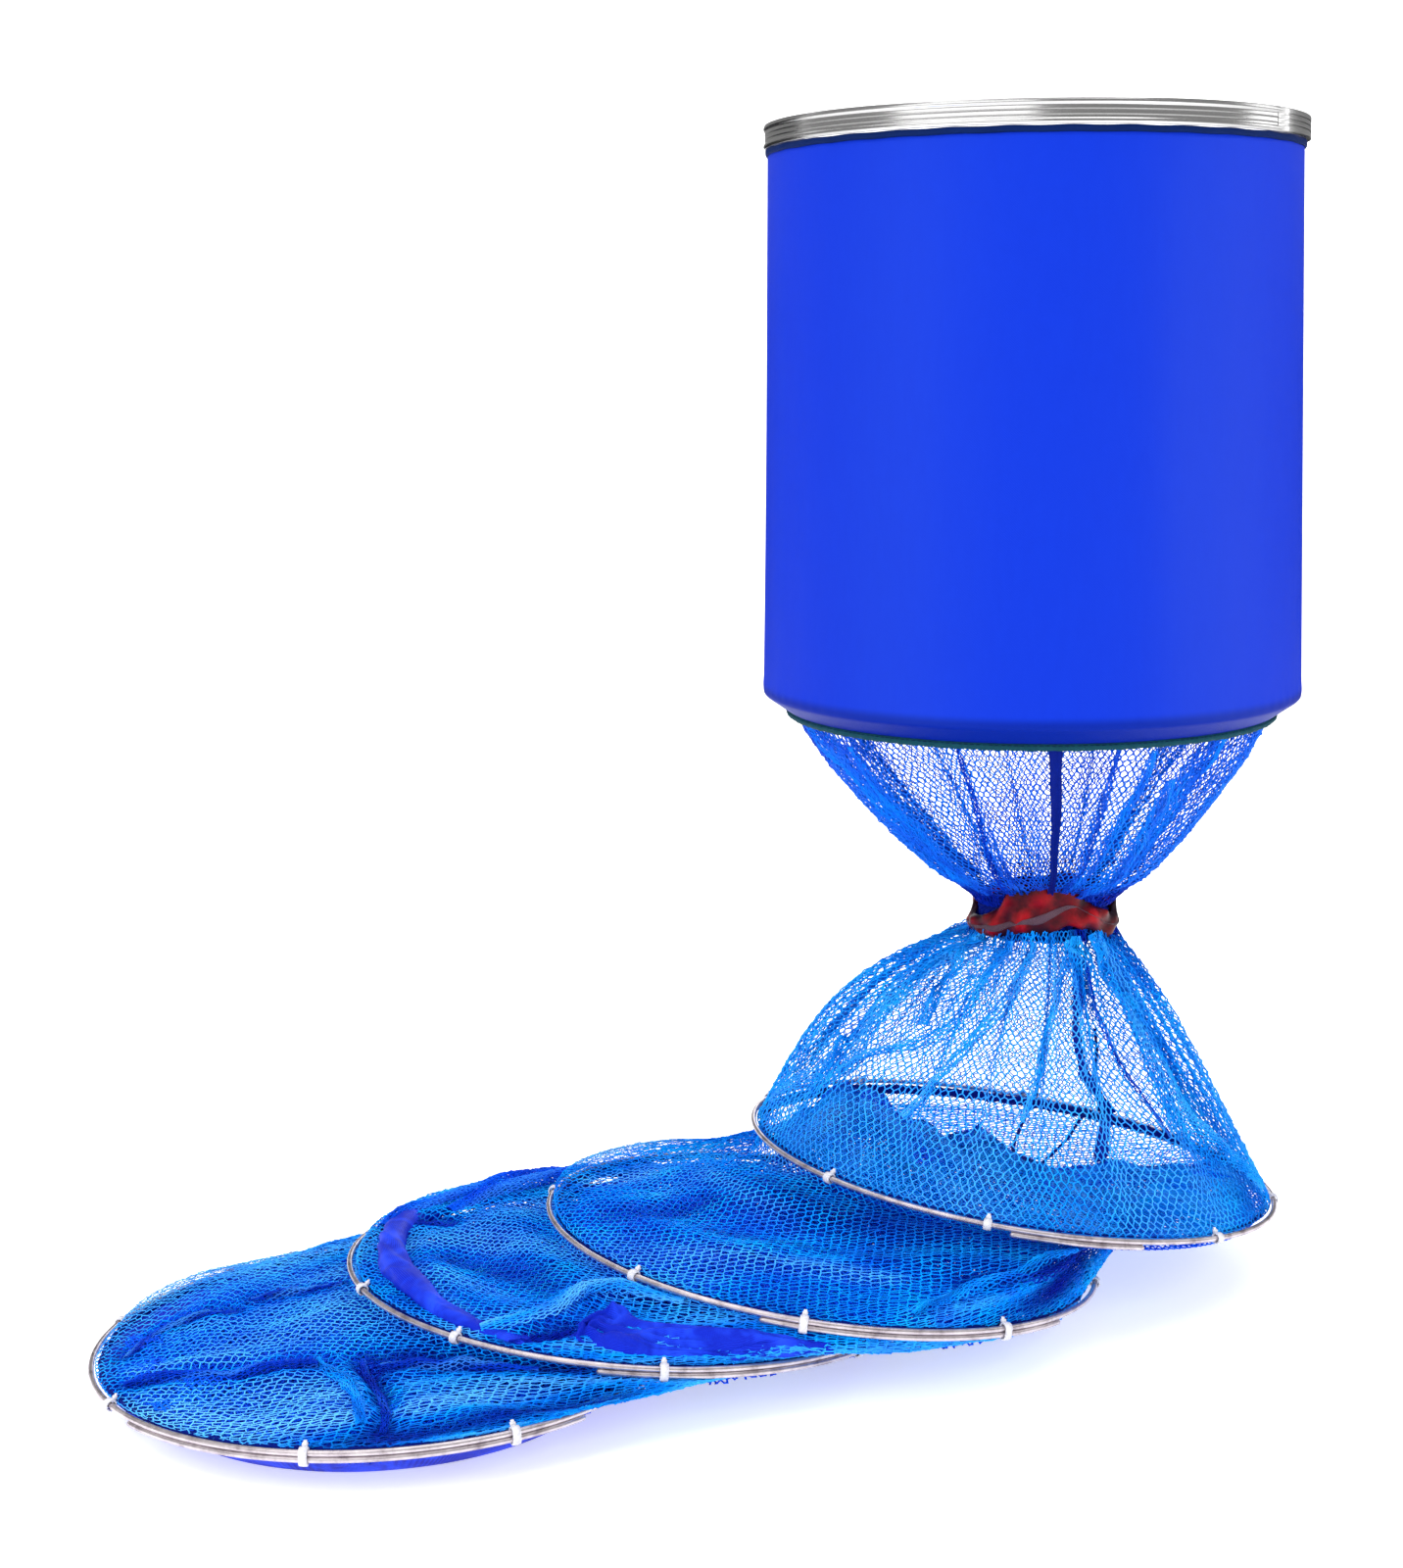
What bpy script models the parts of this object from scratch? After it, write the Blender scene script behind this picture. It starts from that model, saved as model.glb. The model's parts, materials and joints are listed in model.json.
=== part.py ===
"""Collapsible keep net, hung by its rim with the lower sections laid out on the ground.

Metres, +Z up.  The origin is the centre of the rim's top edge.  From there the
cloth bucket hangs down to the hem, the netting narrows to the tied waist,
flares out to the first hoop and then trails over three more hoops to the front
left, each hoop lying partly under the one before it.
"""

import math

import bmesh
import bpy
from mathutils import Matrix, Vector

# ---------------------------------------------------------------- dimensions
GAP = 0.0004                 # clearance kept between neighbouring pieces

# rim: flat stainless strip with a rolled bead along both edges
RIM_HEIGHT = 0.0170
RIM_INNER_R = 0.1946
RIM_FACE_R = 0.1966
RIM_BEAD_R = 0.1976
SPLICE_FROM, SPLICE_TO = -40.0, -8.0     # degrees round from +X
SPLICE_THICK = 0.0010

# bucket cloth and its two edge bindings
BINDING_TOP_Z, BINDING_LOW_Z = -0.0174, -0.0214
CLOTH_TOP_Z, CLOTH_LOW_Z = -0.0218, -0.4180
CLOTH_TOP_R, CLOTH_LOW_R = 0.1945, 0.2000   # outer radius at each end
CLOTH_THICK = 0.0010
SHOULDER_Z, SHOULDER_R = -0.4290, 0.1828    # below the hem hoop the cloth turns in to its piping
HEM_Z, HEM_R, HEM_TUBE = -0.4320, 0.1812, 0.0030
HEM_WIRE_Z, HEM_WIRE_R, WIRE = -0.4120, 0.1965, 0.0020

# netting walls
NET_THICK = 0.0012
WAIST = Vector((0.012, 0.0, -0.5874))       # centre of the tie strap
STRAP_HALF = 0.0190
STRAP_IN_R, STRAP_OUT_R = 0.0532, 0.0560
STRIPE_THICK = 0.0006
FUNNEL = (                                   # (z, radius, share of the shift to the waist)
    (-0.4270, 0.1770, 0.00), (-0.4325, 0.1768, 0.00), (-0.4500, 0.1695, 0.15),
    (-0.4670, 0.1600, 0.29), (-0.5000, 0.1330, 0.52), (-0.5310, 0.1020, 0.74),
    (-0.5560, 0.0730, 0.92), (-0.5655, 0.0600, 1.00),
)

# the four free hoops: centre, slope of the plane along X and along Y (dz = -s.d)
HOOP_R = 0.2000
HOOPS = (
    (Vector((-0.012, -0.0040, -0.7780)), (0.150, 0.056)),
    (Vector((-0.163, -0.0980, -0.8045)), (0.139, 0.068)),
    (Vector((-0.302, -0.1250, -0.8205)), (0.090, 0.076)),
    (Vector((-0.464, -0.2035, -0.8335)), (-0.013, 0.052)),
)
CLIP_ANGLES = (
    (38.0, 80.0, 122.0, 158.0, 222.0, 258.0, 310.0, 352.0),
    (36.0, 82.0, 128.0, 172.5, 228.0, 264.0, 305.5, 350.0),
    (8.0, 52.0, 98.0, 150.0, 205.0, 237.0, 278.0, 322.0),
    (30.0, 75.0, 120.0, 168.0, 214.0, 262.0, 299.5, 345.0),
)
LAPS = ((263.0, 290.0), (256.0, 322.0), (266.0, 332.0), (222.0, 314.0))
LAP_DROP = 0.0044            # the doubled wire lies this far under the hoop wire
CLIP_HOLE = 0.0030
CLIP_WALL = 0.0014
CLIP_WIDTH = 0.0060
NET_RING_R = 0.1942          # where the netting passes inside a hoop and its clips
SKIRT_DOWN = 0.0110
SKIRT_UP = (0.0085, 0.0125, 0.0065)
NET_LIFT = (0.012, 0.016, 0.022)
NET_BULGE = 0.008

# cloth parts of the lower end
BAND_IN_R, BAND_OUT_R, BAND_LOW, BAND_HIGH = 0.1740, 0.1898, 0.0010, 0.0090
BASE_TOP_R, BASE_FLOOR_R = 0.1944, 0.1660
FLOOR_Z = -0.8555
BASE_THICK = 0.0014

SEGMENTS = 48
WIRE_SIDES = 6

# ------------------------------------------------------------------ helpers
for old in list(bpy.data.objects):
    bpy.data.objects.remove(old, do_unlink=True)

SCENE = bpy.context.scene.collection


def material(name, colour, rough, metal=0.0):
    mat = bpy.data.materials.new(name)
    mat.use_nodes = True
    shader = mat.node_tree.nodes["Principled BSDF"]
    shader.inputs["Base Color"].default_value = (*colour, 1.0)
    shader.inputs["Roughness"].default_value = rough
    shader.inputs["Metallic"].default_value = metal
    return mat


STEEL = ((0.62, 0.61, 0.60), 0.28, 1.0)
WIRE_STEEL = ((0.58, 0.55, 0.56), 0.35, 1.0)
CLOTH_BLUE = ((0.010, 0.050, 0.750), 0.75, 0.0)
VIOLET = ((0.030, 0.030, 0.600), 0.70, 0.0)
TEAL = ((0.010, 0.080, 0.120), 0.60, 0.0)
NAVY = ((0.004, 0.010, 0.090), 0.70, 0.0)
NET_BLUE = ((0.004, 0.160, 0.850), 0.55, 0.0)
RED = ((0.380, 0.006, 0.012), 0.45, 0.0)
LILAC = ((0.280, 0.230, 0.300), 0.50, 0.0)
WHITE = ((0.800, 0.800, 0.820), 0.40, 0.0)


def empty(name, at):
    obj = bpy.data.objects.new(name, None)
    obj.empty_display_size = 0.05
    obj.location = at
    SCENE.objects.link(obj)
    return obj


def add(name, mesh, look, parent, matrix=None):
    """Links a mesh as a named object under its body's empty."""
    obj = bpy.data.objects.new(name, mesh)
    SCENE.objects.link(obj)
    if not mesh.materials:
        mesh.materials.append(material(name, *look))
    obj.parent = parent
    local = matrix or Matrix.Identity(4)
    obj.matrix_local = Matrix.Translation(-parent.location) @ local
    return obj


def finish(bm, name, smooth=35.0):
    bmesh.ops.recalc_face_normals(bm, faces=bm.faces)
    mesh = bpy.data.meshes.new(name)
    bm.to_mesh(mesh)
    bm.free()
    mesh.shade_smooth()
    mesh.set_sharp_from_angle(angle=math.radians(smooth))
    return mesh


def ring_loft(name, rows, close=True, smooth=35.0):
    """Extrudes a closed loop through the rows; close welds the last row to the first,
    otherwise both ends are capped."""
    bm = bmesh.new()
    verts = [bm.verts.new(p) for p in rows[0]]
    count = len(verts)
    edges = [bm.edges.new((verts[i], verts[(i + 1) % count])) for i in range(count)]
    first = list(edges)
    todo = list(rows[1:]) + ([rows[0]] if close else [])
    for row in todo:
        grown = bmesh.ops.extrude_edge_only(bm, edges=edges)["geom"]
        fresh = {g for g in grown if isinstance(g, bmesh.types.BMVert)}
        after = []
        for i, old in enumerate(verts):
            twin = next(e.other_vert(old) for e in old.link_edges if e.other_vert(old) in fresh)
            twin.co = row[i]
            after.append(twin)
        verts = after
        edges = [bm.edges.get((verts[i], verts[(i + 1) % count])) for i in range(count)]
    if close:
        bmesh.ops.remove_doubles(bm, verts=bm.verts, dist=1e-7)
    else:
        bmesh.ops.contextual_create(bm, geom=first)
        bmesh.ops.contextual_create(bm, geom=edges)
    return finish(bm, name, smooth)


def turned(name, profile, look, parent, centre=Vector((0, 0, 0)), steps=SEGMENTS):
    """A closed profile of (radius, z) points spun about Z."""
    bm = bmesh.new()
    pts = [bm.verts.new((r, 0.0, z)) for r, z in profile]
    edges = [bm.edges.new((v, pts[(i + 1) % len(pts)])) for i, v in enumerate(pts)]
    bmesh.ops.spin(bm, geom=pts + edges, cent=(0, 0, 0), axis=(0, 0, 1), angle=2 * math.pi,
                   steps=steps, use_merge=True, use_duplicate=False)
    bmesh.ops.remove_doubles(bm, verts=bm.verts, dist=1e-6)
    return add(name, finish(bm, name), look, parent, Matrix.Translation(centre))


def normal_of(slopes):
    return Vector((slopes[0], slopes[1], 1.0)).normalized()


def hoop_matrix(hoop):
    """Local +Z along the hoop's normal, local +X over world +X."""
    centre, slopes = hoop
    n = normal_of(slopes)
    a = (Vector((1, 0, 0)) - n * n.x).normalized()
    b = n.cross(a)
    m = Matrix.Identity(4)
    for i in range(3):
        m[i][0], m[i][1], m[i][2], m[i][3] = a[i], b[i], n[i], centre[i]
    return m


def wire_ring(name, radius, look, parent, matrix):
    bm_mesh = bpy.data.meshes.new(name)
    bm = bmesh.new()
    bmesh.ops.create_circle(bm, cap_ends=True, radius=WIRE, segments=WIRE_SIDES)
    bmesh.ops.rotate(bm, verts=bm.verts, matrix=Matrix.Rotation(math.pi / 2, 3, "X"))
    bmesh.ops.translate(bm, verts=bm.verts, vec=(radius, 0, 0))
    face = bm.faces[:]
    bmesh.ops.spin(bm, geom=face, cent=(0, 0, 0), axis=(0, 0, 1), angle=2 * math.pi,
                   steps=SEGMENTS, use_merge=True, use_duplicate=False)
    # the starting disc would stay inside the closed ring
    inner = [f for f in bm.faces if len(f.verts) == WIRE_SIDES]
    bmesh.ops.delete(bm, geom=inner, context="FACES_ONLY")
    bmesh.ops.remove_doubles(bm, verts=bm.verts, dist=1e-6)
    bmesh.ops.recalc_face_normals(bm, faces=bm.faces)
    bm.to_mesh(bm_mesh)
    bm.free()
    bm_mesh.shade_smooth()
    bm_mesh.set_sharp_from_angle(angle=math.radians(50))
    return add(name, bm_mesh, look, parent, matrix)


def wire_arc(name, radius, drop, start, stop, look, parent, matrix):
    """A stretch of wire parallel to the hoop, with flat cut ends."""
    count = max(6, int(abs(stop - start) / 6.0))
    rows = []
    for k in range(count + 1):
        t = math.radians(start + (stop - start) * k / count)
        out = Vector((math.cos(t), math.sin(t), 0))
        mid = out * radius + Vector((0, 0, -drop))
        rows.append([mid + out * (WIRE * math.cos(u)) + Vector((0, 0, WIRE * math.sin(u)))
                     for u in (2 * math.pi * j / WIRE_SIDES for j in range(WIRE_SIDES))])
    return add(name, ring_loft(name, rows, close=False, smooth=50.0), look, parent, matrix)


def clip_mesh(name, hole_low):
    """Plastic clip closed round the wire: an oval sleeve with its axis along local Y."""
    hole, outer = [], []
    for k in range(8):
        u = 2 * math.pi * k / 8
        low = -hole_low if math.sin(u) < -1e-6 else 0.0
        hole.append(Vector((CLIP_HOLE * math.cos(u), 0, CLIP_HOLE * math.sin(u) + low)))
        wide = CLIP_HOLE + CLIP_WALL
        outer.append(Vector((wide * math.cos(u), 0, wide * math.sin(u) + low)))
    half = Vector((0, CLIP_WIDTH / 2, 0))
    rows = [[p - half for p in outer], [p + half for p in outer],
            [p + half for p in hole], [p - half for p in hole]]
    return ring_loft(name, rows, close=True, smooth=40.0)


def wall(name, middle, look, parent, thick=NET_THICK):
    """A closed wall of even thickness about the middle rows, open at both ends."""
    rows, count = len(middle), len(middle[0])
    outer, inner = [], []
    for j in range(rows):
        up, down = middle[max(j - 1, 0)], middle[min(j + 1, rows - 1)]
        out_row, in_row = [], []
        for i in range(count):
            along = middle[j][(i + 1) % count] - middle[j][i - 1]
            fall = down[i] - up[i]
            n = along.cross(fall)
            n = -n.normalized() if n.length > 1e-12 else Vector((0, 0, 1))
            out_row.append(middle[j][i] + n * (thick / 2))
            in_row.append(middle[j][i] - n * (thick / 2))
        outer.append(out_row)
        inner.append(in_row)
    return add(name, ring_loft(name, outer + inner[::-1], close=True, smooth=60.0), look, parent)


def circle(count=SEGMENTS):
    return [2 * math.pi * i / count for i in range(count)]


def plane_z(hoop, x, y):
    centre, slopes = hoop
    return centre.z - slopes[0] * (x - centre.x) - slopes[1] * (y - centre.y)


def on_hoop(hoop, radius, lift, angle):
    m = hoop_matrix(hoop)
    return m @ Vector((radius * math.cos(angle), radius * math.sin(angle), lift))


# --------------------------------------------------------------- the bodies
rim = empty("rim_body", (0, 0, 0))
skirt = empty("skirt_body", (0, 0, HEM_WIRE_Z))
waist = empty("waist_body", WAIST)
hoop_bodies = [empty("hoop_%d_body" % (k + 1), h[0]) for k, h in enumerate(HOOPS)]

# ----- rim: rolled strip, splice plate where its ends overlap, cloth binding
turned("rim_band", (
    (0.1964, 0.0), (RIM_BEAD_R, -0.0010), (RIM_BEAD_R, -0.0030), (RIM_FACE_R, -0.0040),
    (RIM_FACE_R, -RIM_HEIGHT + 0.0040), (RIM_BEAD_R, -RIM_HEIGHT + 0.0030),
    (RIM_BEAD_R, -RIM_HEIGHT + 0.0010), (0.1964, -RIM_HEIGHT),
    (RIM_INNER_R, -RIM_HEIGHT), (RIM_INNER_R, 0.0),
), STEEL, rim)

splice_rows = []
for k in range(9):
    a = math.radians(SPLICE_FROM + (SPLICE_TO - SPLICE_FROM) * k / 8)
    out = Vector((math.cos(a), math.sin(a), 0))
    r0 = RIM_BEAD_R + GAP
    r1 = r0 + SPLICE_THICK
    splice_rows.append([out * r + Vector((0, 0, z)) for r, z in (
        (r0, -0.0006), (r1, -0.0006), (r1, -RIM_HEIGHT + 0.0006), (r0, -RIM_HEIGHT + 0.0006))])
add("rim_splice", ring_loft("rim_splice", splice_rows, close=False), STEEL, rim)

turned("top_binding", (
    (0.1958, BINDING_TOP_Z), (0.1958, BINDING_LOW_Z), (0.1938, BINDING_LOW_Z),
    (0.1938, BINDING_TOP_Z),
), NAVY, rim)

turned("bucket_cloth", (
    (CLOTH_TOP_R, CLOTH_TOP_Z), (CLOTH_LOW_R, CLOTH_LOW_Z), (SHOULDER_R, SHOULDER_Z),
    (SHOULDER_R - 0.0005, SHOULDER_Z + 0.0008), (CLOTH_LOW_R - CLOTH_THICK, CLOTH_LOW_Z + 0.0005),
    (CLOTH_TOP_R - CLOTH_THICK, CLOTH_TOP_Z),
), CLOTH_BLUE, rim)

# ----- hem: spring hoop inside the cloth, piping round its turned-in edge, upper netting
wire_ring("hem_hoop", HEM_WIRE_R, WIRE_STEEL, skirt,
          Matrix.Translation((0, 0, HEM_WIRE_Z)))
hem_profile = []
for k in range(8):
    u = math.pi / 2 - 2 * math.pi * k / 8
    hem_profile.append((HEM_R + HEM_TUBE * math.cos(u), HEM_TUBE * math.sin(u)))
turned("hem_binding", hem_profile, TEAL, skirt, centre=Vector((0, 0, HEM_Z)))

funnel_rows = []
for z, r, share in FUNNEL:
    mid = Vector((WAIST.x * share, WAIST.y * share, z))
    funnel_rows.append([mid + Vector((r * math.cos(a), r * math.sin(a), 0)) for a in circle()])
wall("upper_net", funnel_rows, NET_BLUE, skirt)

# ----- waist: gathered neck of the netting, tie strap round it, stripe on the strap
neck = []
for z, r in ((0.0208, 0.0500), (0.0195, 0.0526), (0.008, 0.0526), (-0.008, 0.0526),
             (-0.0195, 0.0526), (-0.0208, 0.0500)):
    neck.append([WAIST + Vector((r * math.cos(a), r * math.sin(a), z)) for a in circle(32)])
add("neck_gather", ring_loft("neck_gather", neck, close=False), NET_BLUE, waist)
turned("tie_strap", (
    (STRAP_OUT_R - 0.0004, STRAP_HALF), (STRAP_OUT_R, STRAP_HALF - 0.001),
    (STRAP_OUT_R, -STRAP_HALF + 0.001), (STRAP_OUT_R - 0.0004, -STRAP_HALF),
    (STRAP_IN_R, -STRAP_HALF), (STRAP_IN_R, STRAP_HALF),
), RED, waist, centre=WAIST, steps=36)
turned("tie_stripe", (
    (STRAP_OUT_R + GAP + STRIPE_THICK, 0.0045), (STRAP_OUT_R + GAP + STRIPE_THICK, -0.0045),
    (STRAP_OUT_R + GAP, -0.0045), (STRAP_OUT_R + GAP, 0.0045),
), LILAC, waist, centre=WAIST, steps=36)

# ----- lower netting: flares from the neck to the first hoop, fuller on the left
flare_top = WAIST + Vector((0, 0, -0.0218))
flare_rows = []
for s in (0.0, 0.14, 0.34, 0.56, 0.78, 1.0):
    row = []
    for a in circle():
        start = flare_top + Vector((0.0600 * math.cos(a), 0.0600 * math.sin(a), 0))
        stop = on_hoop(HOOPS[0], NET_RING_R, 0.0065, a)
        fall = s ** (1.27 - 0.27 * math.cos(a))
        row.append(Vector((start.x + (stop.x - start.x) * s, start.y + (stop.y - start.y) * s,
                           start.z + (stop.z - start.z) * fall)))
    flare_rows.append(row)
flare_rows.append([on_hoop(HOOPS[0], NET_RING_R, 0.0003 + GAP / 2, a) for a in circle()])
wall("lower_net", flare_rows, NET_BLUE, waist)

# ----- hoops: wire ring, doubled stretch of wire, clips
short_clip = clip_mesh("clip_short", 0.0)
long_clip = clip_mesh("clip_long", LAP_DROP)
short_clip.materials.append(material("clip_white", *WHITE))
long_clip.materials.append(material("clip_white_long", *WHITE))
for k, hoop in enumerate(HOOPS):
    m = hoop_matrix(hoop)
    wire_ring("hoop_%d" % (k + 1), HOOP_R, WIRE_STEEL, hoop_bodies[k], m)
    wire_arc("hoop_%d_lap" % (k + 1), HOOP_R, LAP_DROP, LAPS[k][0], LAPS[k][1], WIRE_STEEL,
             hoop_bodies[k], m)
    for j, angle in enumerate(CLIP_ANGLES[k]):
        doubled = LAPS[k][0] - 3.0 < angle < LAPS[k][1] + 3.0
        place = (m @ Matrix.Rotation(math.radians(angle), 4, "Z")
                 @ Matrix.Translation((HOOP_R, 0, 0)))
        add("clip_%d%s" % (k + 1, "abcdefgh"[j]), long_clip if doubled else short_clip, WHITE,
            hoop_bodies[k], place)

# ----- netting between the hoops: inside each hoop it hangs as a short skirt, and in
#       between it runs slantwise to the next hoop, standing up on the side it leans to
for k in range(3):
    upper, lower = HOOPS[k], HOOPS[k + 1]
    lean = math.atan2(lower[0].y - upper[0].y, lower[0].x - upper[0].x)
    rows = [[on_hoop(upper, NET_RING_R, -0.0003 - GAP / 2, a) for a in circle()]]
    steps = 5
    for j in range(steps + 1):
        t = j / steps
        row = []
        for a in circle():
            side = 0.5 + 0.5 * math.cos(a - lean)
            hump = math.sin(math.pi * t)
            radius = NET_RING_R + NET_BULGE * hump
            top = on_hoop(upper, radius, -SKIRT_DOWN, a)
            low = on_hoop(lower, radius, SKIRT_UP[k], a)
            p = top.lerp(low, t)
            p.z += NET_LIFT[k] * hump * side * side
            row.append(p)
        rows.append(row)
    rows.append([on_hoop(lower, NET_RING_R, 0.0003 + GAP / 2, a) for a in circle()])
    wall("net_%s" % "abc"[k], rows, NET_BLUE, hoop_bodies[k])

# ----- cloth band lying inside the third hoop
m = hoop_matrix(HOOPS[2])
band_rows = []
for r, z in ((BAND_OUT_R, BAND_HIGH - 0.002), (BAND_OUT_R, BAND_LOW), (BAND_IN_R, BAND_LOW),
             (BAND_IN_R, BAND_HIGH - 0.002), (BAND_IN_R + 0.004, BAND_HIGH),
             (BAND_OUT_R - 0.004, BAND_HIGH)):
    band_rows.append([m @ Vector((r * math.cos(a), r * math.sin(a), z)) for a in circle()])
add("wear_band", ring_loft("wear_band", band_rows, close=True), VIOLET, hoop_bodies[2])

# ----- base cloth: a shallow pan from the last hoop down to the ground
base_rows = []
centre = HOOPS[3][0]
for inset, lift in ((0.0, 0.0), (BASE_THICK, BASE_THICK)):
    edge = [on_hoop(HOOPS[3], BASE_TOP_R - inset, -0.0003 - GAP / 2, a) for a in circle()]
    foot = [Vector((centre.x + (BASE_FLOOR_R - inset) * math.cos(a),
                    centre.y + (BASE_FLOOR_R - inset) * math.sin(a), FLOOR_Z + lift))
            for a in circle()]
    base_rows.append((edge, foot))
add("base_cloth", ring_loft("base_cloth", [base_rows[0][1], base_rows[0][0], base_rows[1][0],
                                           base_rows[1][1]], close=False), VIOLET, hoop_bodies[3])
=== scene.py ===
import json
import math

import bpy
import numpy as np
from mathutils import Matrix, Vector

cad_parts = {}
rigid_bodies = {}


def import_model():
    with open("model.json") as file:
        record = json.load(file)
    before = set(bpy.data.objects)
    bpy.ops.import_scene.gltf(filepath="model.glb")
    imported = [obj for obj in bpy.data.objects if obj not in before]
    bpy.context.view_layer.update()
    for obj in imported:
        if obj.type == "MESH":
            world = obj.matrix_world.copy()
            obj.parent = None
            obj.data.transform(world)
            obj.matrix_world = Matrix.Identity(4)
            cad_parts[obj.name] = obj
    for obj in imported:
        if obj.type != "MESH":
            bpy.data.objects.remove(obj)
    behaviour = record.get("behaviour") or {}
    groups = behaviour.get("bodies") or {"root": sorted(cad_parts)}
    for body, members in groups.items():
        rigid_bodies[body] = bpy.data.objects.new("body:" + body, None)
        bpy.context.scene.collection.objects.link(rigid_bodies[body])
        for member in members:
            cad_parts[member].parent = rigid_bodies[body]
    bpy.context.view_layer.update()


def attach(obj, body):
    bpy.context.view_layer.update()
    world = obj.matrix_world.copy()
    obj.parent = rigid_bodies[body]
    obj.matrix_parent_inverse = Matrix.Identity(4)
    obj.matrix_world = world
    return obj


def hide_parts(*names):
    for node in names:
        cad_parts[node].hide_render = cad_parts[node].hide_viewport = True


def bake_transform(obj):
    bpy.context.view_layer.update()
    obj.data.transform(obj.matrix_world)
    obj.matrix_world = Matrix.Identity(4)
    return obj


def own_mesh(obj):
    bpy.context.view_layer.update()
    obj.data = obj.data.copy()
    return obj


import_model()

TAU = 2.0 * math.pi
SCENE = bpy.context.scene

# ------------------------------------------------------------------ camera
# looks along +Y, 6.9 degrees down, with a slight turn and roll
camera_data = bpy.data.cameras.new("camera")
camera_data.lens = 55.51
camera_data.sensor_width = 36.0
camera_data.sensor_fit = "AUTO"
camera_data.shift_x = -0.021803
camera_data.shift_y = -0.090379
camera_data.clip_end = 60.0
camera = bpy.data.objects.new("camera", camera_data)
SCENE.collection.objects.link(camera)
PITCH, YAW, ROLL = 0.121077, 0.013354, -0.007913
ahead = Vector((math.sin(YAW) * math.cos(PITCH), math.cos(YAW) * math.cos(PITCH), -math.sin(PITCH)))
right = Vector((math.cos(YAW), -math.sin(YAW), 0.0))
above = right.cross(ahead)
cam_x = right * math.cos(ROLL) + above * math.sin(ROLL)
cam_y = -right * math.sin(ROLL) + above * math.cos(ROLL)
camera.matrix_world = Matrix((
    (cam_x.x, cam_y.x, -ahead.x, -0.2447),
    (cam_x.y, cam_y.y, -ahead.y, -1.8000),
    (cam_x.z, cam_y.z, -ahead.z, -0.1609),
    (0.0, 0.0, 0.0, 1.0),
))
SCENE.camera = camera
SCENE.view_settings.view_transform = "Standard"
SCENE.view_settings.look = "None"

# ------------------------------------------------- the object's dimensions
RIM_HEIGHT, RIM_INNER_R, RIM_FACE_R, RIM_BEAD_R = 0.0170, 0.1946, 0.1966, 0.1976
CLOTH_TOP_Z, CLOTH_LOW_Z, CLOTH_TOP_R, CLOTH_LOW_R = -0.0218, -0.4180, 0.1945, 0.2000
SHOULDER_Z, SHOULDER_R = -0.4290, 0.1828
HEM_Z, HEM_R, HEM_TUBE = -0.4320, 0.1812, 0.0030
HEM_WIRE_Z, HEM_WIRE_R, WIRE = -0.4120, 0.1965, 0.0020
WAIST = np.array((0.012, 0.0, -0.5874))
STRAP_HALF = 0.0190
FUNNEL = np.array((
    (-0.4270, 0.1775, 0.00), (-0.4325, 0.1770, 0.00), (-0.4400, 0.1735, 0.08),
    (-0.4670, 0.1580, 0.29), (-0.5000, 0.1320, 0.52), (-0.5310, 0.1050, 0.74),
    (-0.5560, 0.0790, 0.92), (-0.5670, 0.0600, 1.00), (-0.5780, 0.0515, 1.00),
))
HOOP_R = 0.2000
HOOPS = (
    ((-0.012, -0.0040, -0.7780), (0.150, 0.056)),
    ((-0.163, -0.0980, -0.8045), (0.139, 0.068)),
    ((-0.302, -0.1250, -0.8205), (0.090, 0.076)),
    ((-0.464, -0.2035, -0.8335), (-0.013, 0.052)),
)
CLIP_ANGLES = (
    (38.0, 80.0, 122.0, 158.0, 222.0, 258.0, 310.0, 352.0),
    (36.0, 82.0, 128.0, 172.5, 228.0, 264.0, 305.5, 350.0),
    (8.0, 52.0, 98.0, 150.0, 205.0, 237.0, 278.0, 322.0),
    (30.0, 75.0, 120.0, 168.0, 214.0, 262.0, 299.5, 345.0),
)
LAPS = ((263.0, 290.0), (256.0, 322.0), (266.0, 332.0), (222.0, 314.0))
LAP_DROP = 0.0044
NET_RING_R = 0.1942
FLOOR_Z = -0.8555

STRAND = 0.00052             # radius of a strand of the netting


def unit(v):
    v = np.asarray(v, float)
    return v / np.maximum(np.linalg.norm(v, axis=-1, keepdims=True), 1e-12)


def hoop_axes(k):
    centre, (sx, sy) = HOOPS[k]
    n = unit((sx, sy, 1.0))
    a = unit(np.array((1.0, 0.0, 0.0)) - n * n[0])
    return np.array(centre), a, np.cross(n, a), n


def on_hoop(k, radius, lift, angle):
    """Points at a radius and angle on hoop k's plane, lifted along its normal."""
    c, a, b, n = hoop_axes(k)
    radius, lift, angle = np.broadcast_arrays(radius, lift, angle)
    return (c + (radius * np.cos(angle))[..., None] * a
            + (radius * np.sin(angle))[..., None] * b + lift[..., None] * n)


def plane_z(k, x, y):
    c, (sx, sy) = HOOPS[k]
    return c[2] - sx * (x - c[0]) - sy * (y - c[1])


def smooth(x, lo=0.0, hi=1.0):
    t = np.clip((np.asarray(x, float) - lo) / (hi - lo), 0.0, 1.0)
    return t * t * (3.0 - 2.0 * t)


def bell(angle, centre, width):
    """1 at an angle, falling to 0 over a width, both in degrees."""
    d = (np.degrees(angle) - centre + 180.0) % 360.0 - 180.0
    return np.exp(-(d / width) ** 2)


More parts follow.
